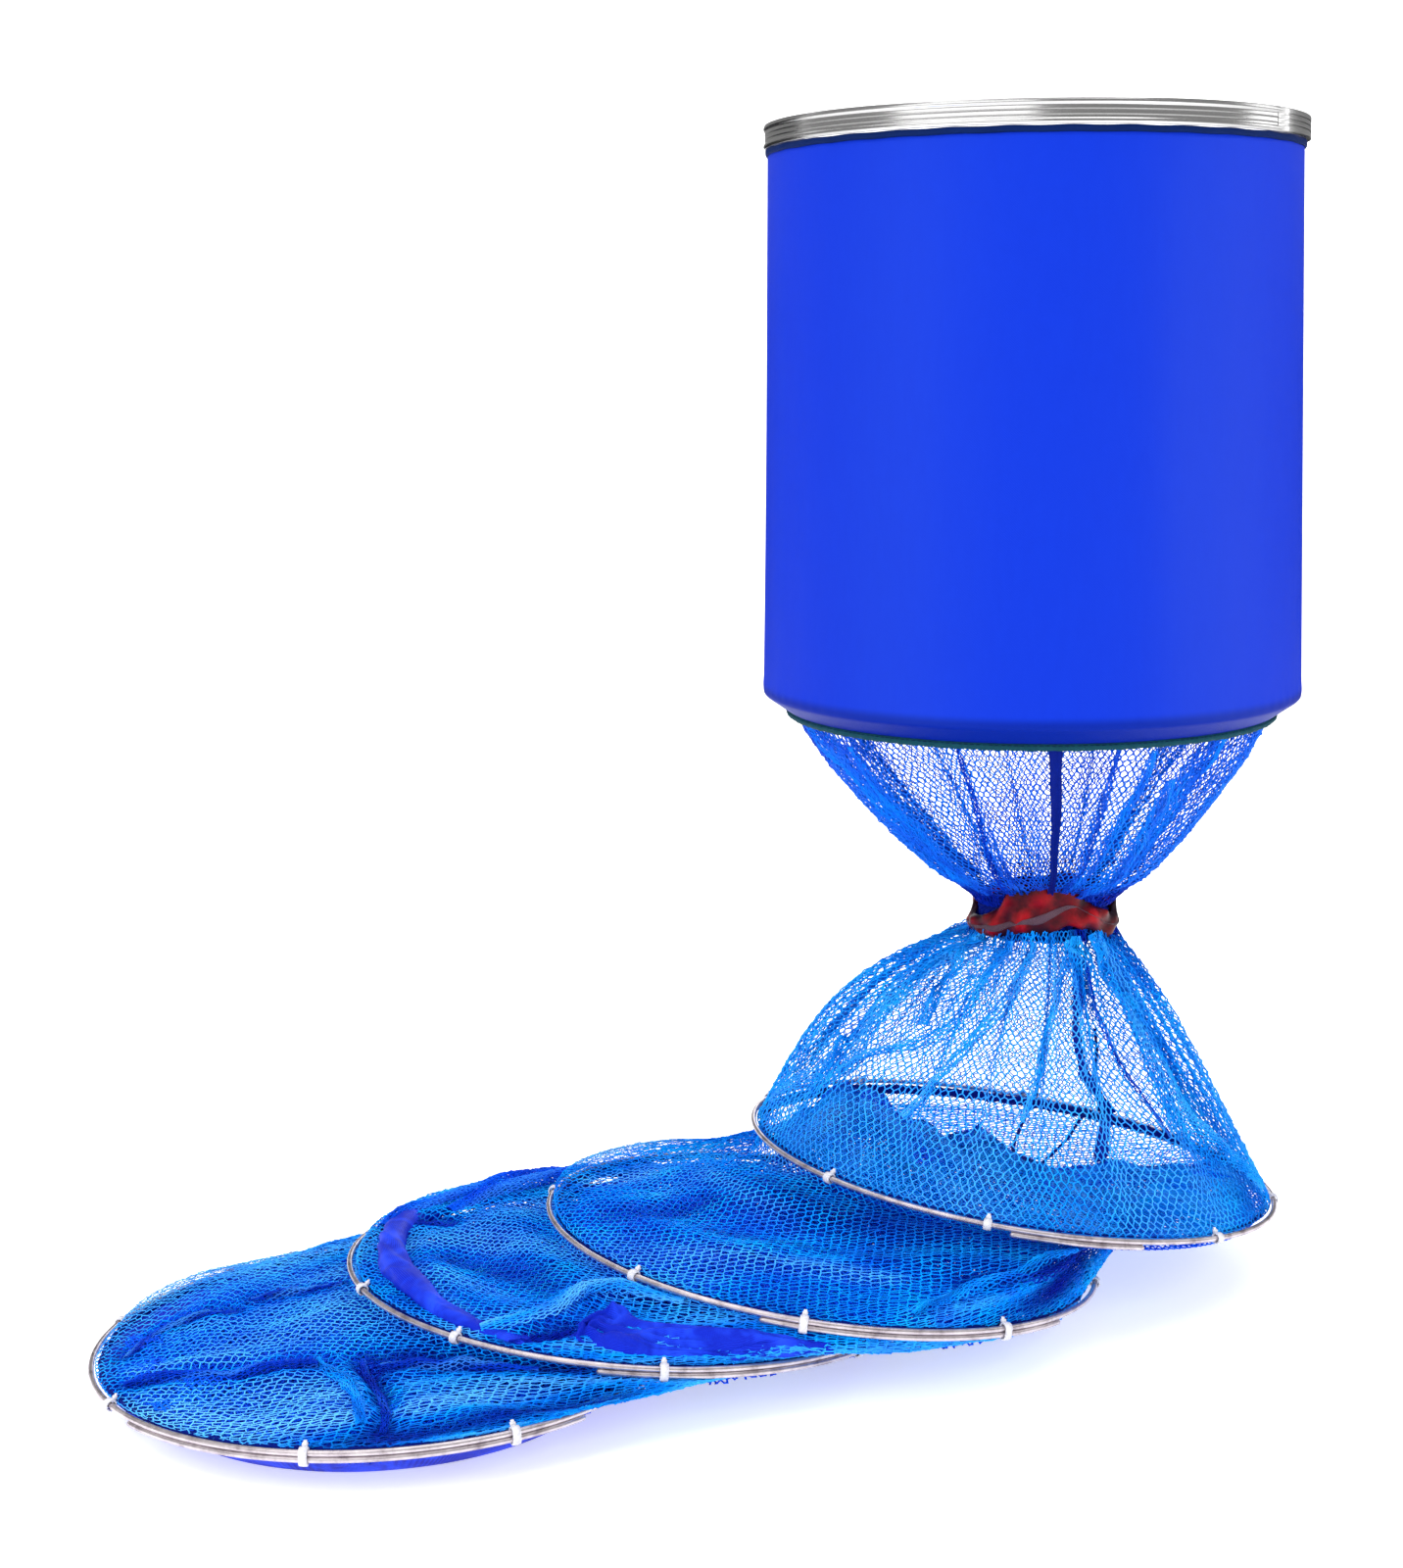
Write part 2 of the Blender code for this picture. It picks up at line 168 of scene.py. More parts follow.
def waves(seed, u, v, around=(1, 6), along=(0.0, 3.0), count=10, fade=0.6):
    """A smooth field of summed waves, periodic in the angle u, about -1 to 1."""
    rng = np.random.default_rng(seed)
    total, weight = np.zeros(np.broadcast(u, v).shape), 0.0
    for _ in range(count):
        n = rng.integers(around[0], around[1] + 1)
        m = rng.uniform(*along) * rng.choice((-1.0, 1.0))
        w = 1.0 / max(n, 1) ** fade
        total = total + w * np.sin(n * u + TAU * m * v + rng.uniform(0, TAU))
        weight += w * w
    return total / math.sqrt(weight / 2.0) / 1.8


def creases(field, sharp=1.0):
    """Turns a wave field into ridges with softly pointed tops."""
    return 1.0 - np.sqrt(field * field + 0.02 * sharp) * 1.6


# --------------------------------------------------------------- mesh making
def mesh_from(name, verts, quads, smooth_faces=True, uv=None):
    verts = np.ascontiguousarray(verts, dtype=np.float32).reshape(-1, 3)
    quads = np.ascontiguousarray(quads, dtype=np.int32)
    sides = quads.shape[1]
    mesh = bpy.data.meshes.new(name)
    mesh.vertices.add(len(verts))
    mesh.vertices.foreach_set("co", verts.ravel())
    mesh.loops.add(quads.size)
    mesh.loops.foreach_set("vertex_index", quads.ravel())
    mesh.polygons.add(len(quads))
    mesh.polygons.foreach_set("loop_start", np.arange(len(quads), dtype=np.int32) * sides)
    mesh.polygons.foreach_set("use_smooth", np.full(len(quads), smooth_faces))
    mesh.update(calc_edges=True)
    if uv is not None:
        layer = mesh.uv_layers.new(name="UVMap")
        layer.data.foreach_set("uv", np.asarray(uv, np.float32)[quads.ravel()].ravel())
    return mesh


def place(name, mesh, mat, body=None):
    obj = bpy.data.objects.new(name, mesh)
    SCENE.collection.objects.link(obj)
    if mat is not None:
        mesh.materials.clear()
        mesh.materials.append(mat)
    if body is not None:
        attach(obj, body)
    return obj


def grid_quads(rows, cols, wrap_rows=False, wrap_cols=False):
    r = np.arange(rows if wrap_rows else rows - 1)
    c = np.arange(cols if wrap_cols else cols - 1)
    R, C = np.meshgrid(r, c, indexing="ij")
    R2, C2 = (R + 1) % rows, (C + 1) % cols
    return np.stack([R * cols + C, R * cols + C2, R2 * cols + C2, R2 * cols + C], -1).reshape(-1, 4)


def grid_normals(p, wrap_cols=True, wrap_rows=False):
    if wrap_cols:
        du = np.roll(p, -1, 1) - np.roll(p, 1, 1)
    else:
        du = np.gradient(p, axis=1)
    dv = (np.roll(p, -1, 0) - np.roll(p, 1, 0)) if wrap_rows else np.gradient(p, axis=0)
    return unit(np.cross(du, dv))


def shell(name, points, thick, mat, body=None, wrap_cols=True, uv=None):
    """Cloth of even thickness about a grid of points, closed all round."""
    rows, cols = points.shape[:2]
    n = grid_normals(points, wrap_cols)
    front, back = points + n * (thick / 2), points - n * (thick / 2)
    if wrap_cols:
        stack = np.concatenate([front, back[::-1]], 0)
        quads = grid_quads(2 * rows, cols, wrap_rows=True, wrap_cols=True)
        uvs = None if uv is None else np.concatenate([uv, uv[::-1]], 0).reshape(-1, 2)
        return place(name, mesh_from(name, stack, quads, uv=uvs), mat, body)
    q = grid_quads(rows, cols)
    count = rows * cols
    edge = np.concatenate([np.arange(cols), np.arange(1, rows) * cols + cols - 1,
                           (rows - 1) * cols + np.arange(cols - 2, -1, -1),
                           np.arange(rows - 2, 0, -1) * cols])
    nxt = np.roll(edge, -1)
    rim = np.stack([nxt, edge, edge + count, nxt + count], -1)
    quads = np.concatenate([q, q[:, ::-1] + count, rim], 0)
    uvs = None if uv is None else np.concatenate([uv.reshape(-1, 2)] * 2, 0)
    return place(name, mesh_from(name, np.concatenate([front.reshape(-1, 3), back.reshape(-1, 3)]),
                                 quads, uv=uvs), mat, body)


def tube(name, path, radius, mat, body=None, sides=10, closed=False, flat=1.0, up=None,
         profile=None, twist=0.0):
    """A tube along a path; flat squashes its section, profile replaces the round section
    with points (out, up) in units of radius."""
    path = np.asarray(path, float)
    n = len(path)
    if closed:
        t = unit(np.roll(path, -1, 0) - np.roll(path, 1, 0))
    else:
        t = unit(np.gradient(path, axis=0))
    up = np.array((0.0, 0.0, 1.0)) if up is None else np.asarray(up, float)
    side = unit(np.cross(t, np.broadcast_to(up, t.shape)))
    top = np.cross(side, t)
    radius = np.broadcast_to(radius, (n,))[:, None]
    if profile is None:
        a = np.arange(sides) * TAU / sides
        profile = np.stack([np.cos(a), np.sin(a) * flat], -1)
    profile = np.asarray(profile, float)
    tw = np.broadcast_to(twist, (n,))
    po, pu = profile[:, 0][None], profile[:, 1][None]
    ro = po * np.cos(tw)[:, None] - pu * np.sin(tw)[:, None]
    ru = po * np.sin(tw)[:, None] + pu * np.cos(tw)[:, None]
    ring = (path[:, None] + side[:, None] * (ro * radius)[..., None]
            + top[:, None] * (ru * radius)[..., None])
    m = ring.shape[1]
    along = np.concatenate([[0.0], np.cumsum(np.linalg.norm(np.diff(path, axis=0), axis=1))])
    uv = np.stack(np.broadcast_arrays(along[:, None], np.arange(m)[None] / m * 0.02), -1)
    quads = grid_quads(n, m, wrap_rows=closed, wrap_cols=True)
    verts = ring.reshape(-1, 3)
    uv = uv.reshape(-1, 2)
    if not closed:
        # round the two ends off with a shrunken ring and a centre fan
        ends = []
        for i, s in ((0, -1.0), (n - 1, 1.0)):
            r = float(radius[i, 0])
            small = path[i] + t[i] * s * r * 0.55 + (ring[i] - path[i]) * 0.62
            tip = path[i] + t[i] * s * r * 0.75 + (ring[i] - path[i]) * 0.02
            ends.append((small, tip))
        base = len(verts)
        verts = np.concatenate([verts, ends[0][0], ends[0][1], ends[1][0], ends[1][1]])
        uv = np.concatenate([uv, np.repeat(uv[:1], 2 * m, 0), np.repeat(uv[-1:], 2 * m, 0)])
        c = np.arange(m)
        c2 = (c + 1) % m
        quads = np.concatenate([
            quads,
            np.stack([base + c, base + c2, c2, c], -1),
            np.stack([base + m + c, base + m + c2, base + c2, base + c], -1),
            np.stack([(n - 1) * m + c, (n - 1) * m + c2, base + 2 * m + c2, base + 2 * m + c], -1),
            np.stack([base + 2 * m + c, base + 2 * m + c2, base + 3 * m + c2, base + 3 * m + c], -1),
        ])
    return place(name, mesh_from(name, verts, quads, uv=uv), mat, body)


def turned(name, profile, mat, body, steps=384, wobble=None):
    """A closed profile of (radius, z) points turned about Z."""
    profile = np.asarray(profile, float)
    a = np.arange(steps) * TAU / steps
    r = profile[:, 0][None] + np.zeros((steps, 1))
    z = profile[:, 1][None] + np.zeros((steps, 1))
    if wobble is not None:
        r, z = wobble(a[:, None], r, z)
    p = np.stack([r * np.cos(a)[:, None], r * np.sin(a)[:, None], z], -1)
    uv = np.stack(np.broadcast_arrays((a * 0.2)[:, None], profile[:, 1][None]), -1).reshape(-1, 2)
    mesh = mesh_from(name, p, grid_quads(steps, len(profile), True, True)[:, ::-1], uv=uv)
    return place(name, mesh, mat, body)


def strands(name, a, b, radius, mat, body=None):
    """Three-sided strands from the points a to the points b."""
    d = b - a
    length = np.linalg.norm(d, axis=1)
    keep = length > 2e-4
    a, b, d = a[keep], b[keep], d[keep] / length[keep][:, None]
    radius = np.broadcast_to(radius, keep.shape)[keep]
    ref = np.tile(np.array((0.31, 0.47, 0.83)), (len(a), 1))
    n1 = unit(np.cross(d, ref))
    n2 = np.cross(d, n1)
    a = a - d * (radius * 0.5)[:, None]
    b = b + d * (radius * 0.5)[:, None]
    parts = []
    for end in (a, b):
        for k in range(3):
            t = TAU * k / 3
            parts.append(end + (n1 * math.cos(t) + n2 * math.sin(t)) * radius[:, None])
    verts = np.stack(parts, 1).reshape(-1, 3)
    base = np.arange(len(a))[:, None] * 6
    quads = np.concatenate([base + np.array([k, (k + 1) % 3, 3 + (k + 1) % 3, 3 + k])
                            for k in range(3)], 0)
    return place(name, mesh_from(name, verts, quads), mat, body)


def set_tone(obj, values):
    layer = obj.data.attributes.new("tone", "FLOAT", "POINT")
    layer.data.foreach_set("value", np.ascontiguousarray(values, dtype=np.float32))


def hexagons(cells, rows, wrap=True, zig=0.58):
    """Knot places (u, v from 0 to 1) of netting with six-sided meshes, its strands as pairs of
    knot numbers, and which of those are the doubled strands along the netting."""
    cols = 2 * cells
    J, I = np.meshgrid(np.arange(rows + 1), np.arange(cols + (0 if wrap else 1)), indexing="ij")
    width = I.shape[1]
    U = I / cols
    V = np.clip((J + 0.5 * zig * np.where((I + J) % 2 == 0, 1.0, -1.0)) / rows, 0.0, 1.0)
    idx = J * width + I
    if wrap:
        across = np.stack([idx, np.roll(idx, -1, 1)], -1).reshape(-1, 2)
    else:
        across = np.stack([idx[:, :-1], idx[:, 1:]], -1).reshape(-1, 2)
    link = ((I + J) % 2 == 0)[:-1]
    down = np.stack([idx[:-1][link], idx[1:][link]], -1)
    pairs = np.concatenate([across, down])
    doubled = np.concatenate([np.zeros(len(across), bool), np.ones(len(down), bool)])
    return U, V, pairs, doubled


def netting(name, surface, cells, rows, mat, body=None, seed=1, wrap=True, thick=STRAND,
            keep=None, loose=0.0004, tone=None, slim=None):
    """Netting whose knots lie on surface(u, v), u and v from 0 to 1; tone(u, v) paints light and shade
    into its twine, lighter (to 1) or darker (to -1), and slim(u, v) where it is drawn thin."""
    U, V, pairs, doubled = hexagons(cells, rows, wrap)
    rng = np.random.default_rng(seed)
    U2 = U + rng.normal(0.0, 0.045, U.shape) / cells
    V2 = np.clip(V + rng.normal(0.0, 0.06, V.shape) * (V > 0) * (V < 1) / rows, 0.0, 1.0)
    p = surface(U2, V2)
    p = p + rng.normal(0.0, loose, p.shape) * ((V > 0.5 / rows) & (V < 1 - 0.5 / rows))[..., None]
    p = p.reshape(-1, 3)
    p[:, 2] = np.maximum(p[:, 2], FLOOR_Z + thick * 1.3)
    if keep is not None:
        ok = keep(p)
        good = ok[pairs[:, 0]] & ok[pairs[:, 1]]
        pairs, doubled = pairs[good], doubled[good]
    r = np.where(doubled, thick * 1.28, thick)
    if slim is not None:
        r = r * np.broadcast_to(slim(U, V), U.shape).reshape(-1)[pairs].mean(1)
    obj = strands(name, p[pairs[:, 0]], p[pairs[:, 1]], r, mat, body)
    if tone is not None:
        shade = np.broadcast_to(tone(U, V), U.shape).reshape(-1)
        far = np.linalg.norm(p[pairs[:, 0]] - p[pairs[:, 1]], axis=1) > 2e-4
        set_tone(obj, np.repeat(shade[pairs[far]], 3, axis=1).reshape(-1))
    run = V.reshape(-1)
    weights = np.repeat((run[pairs[:, 0]])[:, None], 3, 1), np.repeat((run[pairs[:, 1]])[:, None], 3, 1)
    d = np.linalg.norm(p[pairs[:, 0]] - p[pairs[:, 1]], axis=1) > 2e-4
    obj["_rows"] = rows
    RUNS[obj.name] = np.concatenate(weights, 1)[d].reshape(-1)
    return obj


RUNS = {}


def hand_over(obj, run=None):
    """Bakes a piece of netting's placement into its mesh and works out weights by how far along the netting
    it is, which nothing uses.
    """
    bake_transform(obj)
    run = RUNS.pop(obj.name) if run is None else run
    w = smooth(run).astype(np.float32)
    assert len(w) == len(obj.data.vertices)
    if "_rows" in obj:
        del obj["_rows"]


# ----------------------------------------------------------------- materials
def material(name, colour, rough, **sockets):
    mat = bpy.data.materials.new(name)
    mat.use_nodes = True
    shader = mat.node_tree.nodes["Principled BSDF"]
    shader.inputs["Base Color"].default_value = (*colour, 1.0)
    shader.inputs["Roughness"].default_value = rough
    for key, value in sockets.items():
        shader.inputs[key.replace("_", " ")].default_value = value
    return mat


def add(tree, kind, links=(), **values):
    node = tree.nodes.new(kind)
    for key, value in values.items():
        if hasattr(node, key):
            setattr(node, key, value)
        else:
            node.inputs[key.replace("_", " ")].default_value = value
    for source, target in links:
        tree.links.new(source, node.inputs[target])
    return node


def coords(tree, which="Object", scale=(1.0, 1.0, 1.0), rotation=(0.0, 0.0, 0.0)):
    tex = add(tree, "ShaderNodeTexCoord")
    mapping = add(tree, "ShaderNodeMapping", [(tex.outputs[which], "Vector")])
    mapping.inputs["Scale"].default_value = scale
    mapping.inputs["Rotation"].default_value = rotation
    return mapping.outputs["Vector"]


def noise(tree, vector, scale, detail=3.0, rough=0.55, distortion=0.0):
    return add(tree, "ShaderNodeTexNoise", [(vector, "Vector")], Scale=scale, Detail=detail,
               Roughness=rough, Distortion=distortion).outputs["Fac"]


def wave(tree, vector, scale, direction="X", distortion=0.0, detail=1.0):
    node = add(tree, "ShaderNodeTexWave", [(vector, "Vector")], Scale=scale,
               Distortion=distortion, Detail=detail)
    node.wave_type = "BANDS"
    node.bands_direction = direction
    return node.outputs["Fac"]


def ramp(tree, fac, stops):
    node = add(tree, "ShaderNodeValToRGB", [(fac, "Fac")])
    elements = node.color_ramp.elements
    while len(elements) > 1:
        elements.remove(elements[-1])
    elements[0].position = stops[0][0]
    elements[0].color = (*stops[0][1], 1.0)
    for at, colour in stops[1:]:
        elements.new(at).color = (*colour, 1.0)
    return node.outputs["Color"]


def mix(tree, fac, a, b, mode="MIX"):
    node = add(tree, "ShaderNodeMix", data_type="RGBA", blend_type=mode)
    for value, slot in ((fac, 0), (a, 6), (b, 7)):
        if isinstance(value, (int, float)):
            node.inputs[slot].default_value = value
        elif isinstance(value, tuple):
            node.inputs[slot].default_value = (*value, 1.0)
        else:
            tree.links.new(value, node.inputs[slot])
    return node.outputs[2]


def maths(tree, op, a, b):
    node = add(tree, "ShaderNodeMath", operation=op)
    for i, value in enumerate((a, b)):
        if isinstance(value, (int, float)):
            node.inputs[i].default_value = value
        else:
            tree.links.new(value, node.inputs[i])
    return node.outputs[0]


def spread(tree, fac, low, high):
    node = add(tree, "ShaderNodeMapRange", [(fac, "Value")])
    node.inputs["To Min"].default_value = low
    node.inputs["To Max"].default_value = high
    return node.outputs["Result"]


def bump(tree, height, distance, strength=1.0, after=None):
    node = add(tree, "ShaderNodeBump", [(height, "Height")], Distance=distance, Strength=strength)
    if after is not None:
        tree.links.new(after, node.inputs["Normal"])
    return node.outputs["Normal"]


def wire(mat, **outputs):
    shader = mat.node_tree.nodes["Principled BSDF"]
    for key, value in outputs.items():
        mat.node_tree.links.new(value, shader.inputs[key.replace("_", " ")])


def steel_strip():
    mat = material("steel_strip", (0.6, 0.6, 0.6), 0.4, Metallic=1.0)
    t = mat.node_tree
    lines = noise(t, coords(t, scale=(5.0, 5.0, 1500.0)), 1.0, 4.0, 0.7)
    smear = noise(t, coords(t, scale=(9.0, 9.0, 22.0)), 1.0, 3.0)
    base = ramp(t, lines, ((0.25, (0.54, 0.537, 0.535)), (0.6, (0.64, 0.637, 0.634)),
                           (0.85, (0.70, 0.697, 0.694))))
    base = mix(t, spread(t, smear, 0.0, 0.22), base, (0.30, 0.30, 0.305))
    wire(mat, Base_Color=base, Roughness=spread(t, maths(t, "MULTIPLY", lines, smear), 0.18, 0.31),
         Normal=bump(t, lines, 0.00003, 0.45))
    return mat


def steel_wire():
    mat = material("steel_wire", (0.5, 0.45, 0.48), 0.3, Metallic=0.85)
    t = mat.node_tree
    v = coords(t)
    spots = noise(t, v, 90.0, 4.0, 0.65)
    fine = noise(t, v, 900.0, 2.0, 0.6)
    base = ramp(t, spots, ((0.30, (0.30, 0.25, 0.28)), (0.48, (0.56, 0.50, 0.53)),
                           (0.75, (0.74, 0.68, 0.70))))
    wire(mat, Base_Color=base, Roughness=spread(t, spots, 0.22, 0.44),
         Normal=bump(t, fine, 0.00006, 0.5))
    return mat


def bucket_fabric():
    mat = material("bucket_fabric", (0.005, 0.028, 0.46), 0.4, Specular_IOR_Level=0.055)
    mat.node_tree.nodes["Principled BSDF"].inputs["Specular Tint"].default_value = (
        0.45, 0.85, 1.0, 1.0)
    t = mat.node_tree
    uv = coords(t, "UV")
    warp_ = wave(t, uv, 300.0, "X", 0.6)
    weft = wave(t, uv, 300.0, "Y", 0.6)
    weave = maths(t, "MAXIMUM", maths(t, "MULTIPLY", warp_, maths(t, "SUBTRACT", 1.0, weft)),
                  maths(t, "MULTIPLY", weft, maths(t, "SUBTRACT", 1.0, warp_)))
    slubs = noise(t, coords(t, "UV", scale=(220.0, 34.0, 1.0)), 1.0, 3.0)
    clouds = noise(t, coords(t), 7.0, 2.0)
    base = ramp(t, weave, ((0.05, (0.0030, 0.0190, 0.370)), (0.55, (0.0042, 0.0260, 0.450)),
                           (1.0, (0.0064, 0.0360, 0.520))))
    base = mix(t, spread(t, slubs, 0.0, 0.30), base, (0.0060, 0.0390, 0.530))
    base = mix(t, spread(t, clouds, 0.0, 0.18), base, (0.0030, 0.0190, 0.390))
    # painted shade: the cloth is darkened over the turned-in hem at its bottom
    run = add(t, "ShaderNodeSeparateXYZ", [(coords(t, "UV"), "Vector")]).outputs["Y"]
    hem = add(t, "ShaderNodeMapRange", [(run, "Value")], interpolation_type="SMOOTHSTEP")
    hem.inputs["From Min"].default_value = -0.394
    hem.inputs["From Max"].default_value = -0.387
    hem.inputs["To Min"].default_value = 0.80
    hem.inputs["To Max"].default_value = 0.0
    base = mix(t, hem.outputs["Result"], base, (0.0016, 0.0110, 0.200))
    wire(mat, Base_Color=base, Roughness=spread(t, weave, 0.50, 0.38),
         Normal=bump(t, weave, 0.00012, 0.6))
    return mat


def plain_fabric(name, dark, mid, light, scale=420.0, rough=(0.55, 0.75), height=0.00015,
                 broad=0.0, **sockets):
    mat = material(name, mid, rough[0], **sockets)
    t = mat.node_tree
    v = coords(t, "UV")
    w1, w2 = wave(t, v, scale, "X", 0.8), wave(t, v, scale, "Y", 0.8)
    weave = maths(t, "MULTIPLY", w1, w2)
    patches = noise(t, coords(t), 60.0, 4.0, 0.6)
    base = ramp(t, weave, ((0.0, dark), (0.45, mid), (1.0, light)))
    base = mix(t, spread(t, patches, 0.0, 0.6), base, dark)
    if broad:
        # broad random patches of the cloth are mixed towards its light colour
        light_patches = ramp(t, noise(t, coords(t), broad, 3.0, 0.6, 0.6), ((0.45, (0.0,) * 3), (0.72, (0.85,) * 3)))
        base = mix(t, light_patches, base, light)
    wire(mat, Base_Color=base, Roughness=spread(t, patches, *rough),
         Normal=bump(t, weave, height, 0.8))
    return mat


def twine(name, deep, mid, light, rough=(0.42, 0.6), patch=26.0, dark=(0.0005, 0.010, 0.30),
          pale=(0.070, 0.430, 1.0)):
    """Netting twine: shade drifts along the netting, with a fine lay in each strand."""
    mat = material(name, mid, rough[0], Specular_IOR_Level=0.05)
    t = mat.node_tree
    v = coords(t)
    drift = noise(t, v, patch, 3.0, 0.6)
    lay = noise(t, v, 1400.0, 2.0, 0.6)
    base = ramp(t, drift, ((0.30, deep), (0.50, mid), (0.72, light)))
    base = mix(t, spread(t, lay, 0.0, 0.35), base, light)
    # painted light and shade: the tone attribute mixes the twine towards the pale colour, a painted
    # highlight, where it is positive, and towards the dark colour, a painted shade, where it is negative
    tone = add(t, "ShaderNodeAttribute", attribute_name="tone").outputs["Fac"]
    base = mix(t, maths(t, "MAXIMUM", tone, 0.0), base, pale)
    base = mix(t, maths(t, "MAXIMUM", maths(t, "MULTIPLY", tone, -1.0), 0.0), base, dark)
    wire(mat, Base_Color=base, Roughness=spread(t, lay, *rough), Normal=bump(t, lay, 0.00005, 0.5))
    return mat


def satin():
    mat = material("satin_red", (0.30, 0.004, 0.010), 0.28, Specular_IOR_Level=0.14)
    t = mat.node_tree
    uv = coords(t, "UV")
    threads = wave(t, uv, 520.0, "Y", 0.5)
    run = noise(t, coords(t, "UV", scale=(60.0, 500.0, 1.0)), 1.0, 3.0)
    # painted shade and sheen: random blotches from near-black to bright red stand in for the shading and
    # shine of the crumpled satin
    wear = noise(t, coords(t), 110.0, 4.0, 0.6)
    base = ramp(t, wear, ((0.34, (0.045, 0.000, 0.003)), (0.50, (0.130, 0.001, 0.004)),
                          (0.72, (0.280, 0.002, 0.008))))
    base = mix(t, spread(t, run, 0.0, 0.4), base, (0.050, 0.000, 0.003))
    # painted shade and highlight: the tone attribute mixes the satin towards near-black where it is negative
    # and towards bright red where it is positive
    tone = add(t, "ShaderNodeAttribute", attribute_name="tone").outputs["Fac"]
    base = mix(t, maths(t, "MAXIMUM", maths(t, "MULTIPLY", tone, -1.0), 0.0), base,
               (0.010, 0.0005, 0.006))
    base = mix(t, maths(t, "MAXIMUM", tone, 0.0), base, (0.400, 0.002, 0.008))
    wire(mat, Base_Color=base, Roughness=spread(t, run, 0.24, 0.45),
         Normal=bump(t, threads, 0.00008, 0.6))
    return mat


def clip_plastic():
    mat = material("clip_plastic", (0.62, 0.62, 0.66), 0.35, Subsurface_Weight=0.15)
    mat.node_tree.nodes["Principled BSDF"].inputs["Subsurface Radius"].default_value = (
        0.002, 0.002, 0.002)
    t = mat.node_tree
    v = coords(t)
    grime = noise(t, v, 260.0, 4.0, 0.6)
    base = ramp(t, grime, ((0.28, (0.42, 0.41, 0.47)), (0.5, (0.60, 0.60, 0.65)),
                           (0.8, (0.74, 0.74, 0.77))))
    wire(mat, Base_Color=base, Roughness=spread(t, grime, 0.28, 0.5),
         Normal=bump(t, noise(t, v, 1500.0), 0.00004, 0.4))
    return mat


M_STEEL = steel_strip()
M_WIRE = steel_wire()
M_BUCKET = bucket_fabric()
M_TEAL = plain_fabric("piping_teal", (0.002, 0.030, 0.048), (0.005, 0.080, 0.105),
                      (0.016, 0.150, 0.170), 500.0, height=0.0002, Specular_IOR_Level=0.12)
M_NAVY = plain_fabric("binding_navy", (0.0006, 0.007, 0.050), (0.0012, 0.016, 0.110),
                      (0.0025, 0.032, 0.190), 600.0, Specular_IOR_Level=0.08)
M_SEAM = plain_fabric("seam_navy", (0.0008, 0.005, 0.110), (0.0015, 0.013, 0.270),
                      (0.003, 0.032, 0.430), 600.0, Specular_IOR_Level=0.06)
M_ROYAL = plain_fabric("seam_royal", (0.0008, 0.009, 0.240), (0.0015, 0.022, 0.480),
                       (0.003, 0.055, 0.680), 600.0, Specular_IOR_Level=0.06)
M_VIOLET = plain_fabric("cloth_violet", (0.0015, 0.008, 0.330), (0.005, 0.034, 0.700),
                        (0.016, 0.078, 0.900), 420.0, rough=(0.42, 0.6), broad=34.0,
                        Specular_IOR_Level=0.09)
M_UPPER = twine("twine_royal", (0.003, 0.040, 0.520), (0.006, 0.085, 0.700),
                (0.020, 0.170, 0.860), patch=30.0, pale=(0.004, 0.200, 0.900))
M_FLARE = twine("twine_azure", (0.001, 0.150, 0.800), (0.002, 0.290, 0.960),
                (0.012, 0.440, 1.000))
M_NET = twine("twine_blue", (0.0005, 0.110, 0.860), (0.0005, 0.260, 1.000),
              (0.002, 0.430, 1.000), pale=(0.130, 0.560, 1.000))
# painted shade: a darker copy of the blue twine, for netting lying in the shade under other layers and in
# some folds
M_SHADED_TWINE = twine("twine_shaded", (0.001, 0.030, 0.620), (0.001, 0.075, 0.820),
               (0.002, 0.160, 0.960))
# painted shade: a near-navy twine for folds of netting in fold valleys; the folds are real, their dark
# colour stands in for the shade in them
M_FOLD_SHADE = twine("twine_fold_shade", (0.0005, 0.012, 0.30), (0.001, 0.030, 0.48), (0.001, 0.080, 0.72))
M_SATIN = satin()
M_STRIPE = plain_fabric("stripe_lilac", (0.05, 0.02, 0.03), (0.135, 0.075, 0.095),
                        (0.26, 0.18, 0.22), 700.0, rough=(0.35, 0.55), Specular_IOR_Level=0.15)
M_CLIP = clip_plastic()

# ----------------------------------------------------------- rim and bucket
profile = [(0.1964, 0.0), (0.1970, -0.0002)]
for k in range(7):
    t = math.radians(60.0 - 20.0 * k)
    profile.append((0.1965 + 0.0010 * math.cos(t), -0.0022 + 0.0016 * math.sin(t)))
profile += [(0.19665, -0.0040), (0.1965, -0.0046), (0.1965, -0.0062), (0.19666, -0.0066),
            (0.19666, -0.0070), (0.1965, -0.0074), (0.1965, -0.0098), (0.19666, -0.0102),
            (0.19666, -0.0106), (0.1965, -0.0110), (0.1965, -0.0124), (0.19665, -0.0130)]
for k in range(7):
    t = math.radians(60.0 - 20.0 * k)
    profile.append((0.1965 + 0.0010 * math.cos(t), -0.0148 + 0.0016 * math.sin(t)))
profile += [(0.1970, -0.0168), (0.1964, -0.0170), (0.1950, -0.0170), (0.19465, -0.0164),
            (0.19465, -0.0006), (0.1950, 0.0)]
rim = turned("rim_strip", profile, M_STEEL, "rim_body", steps=512)
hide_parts("rim_band")

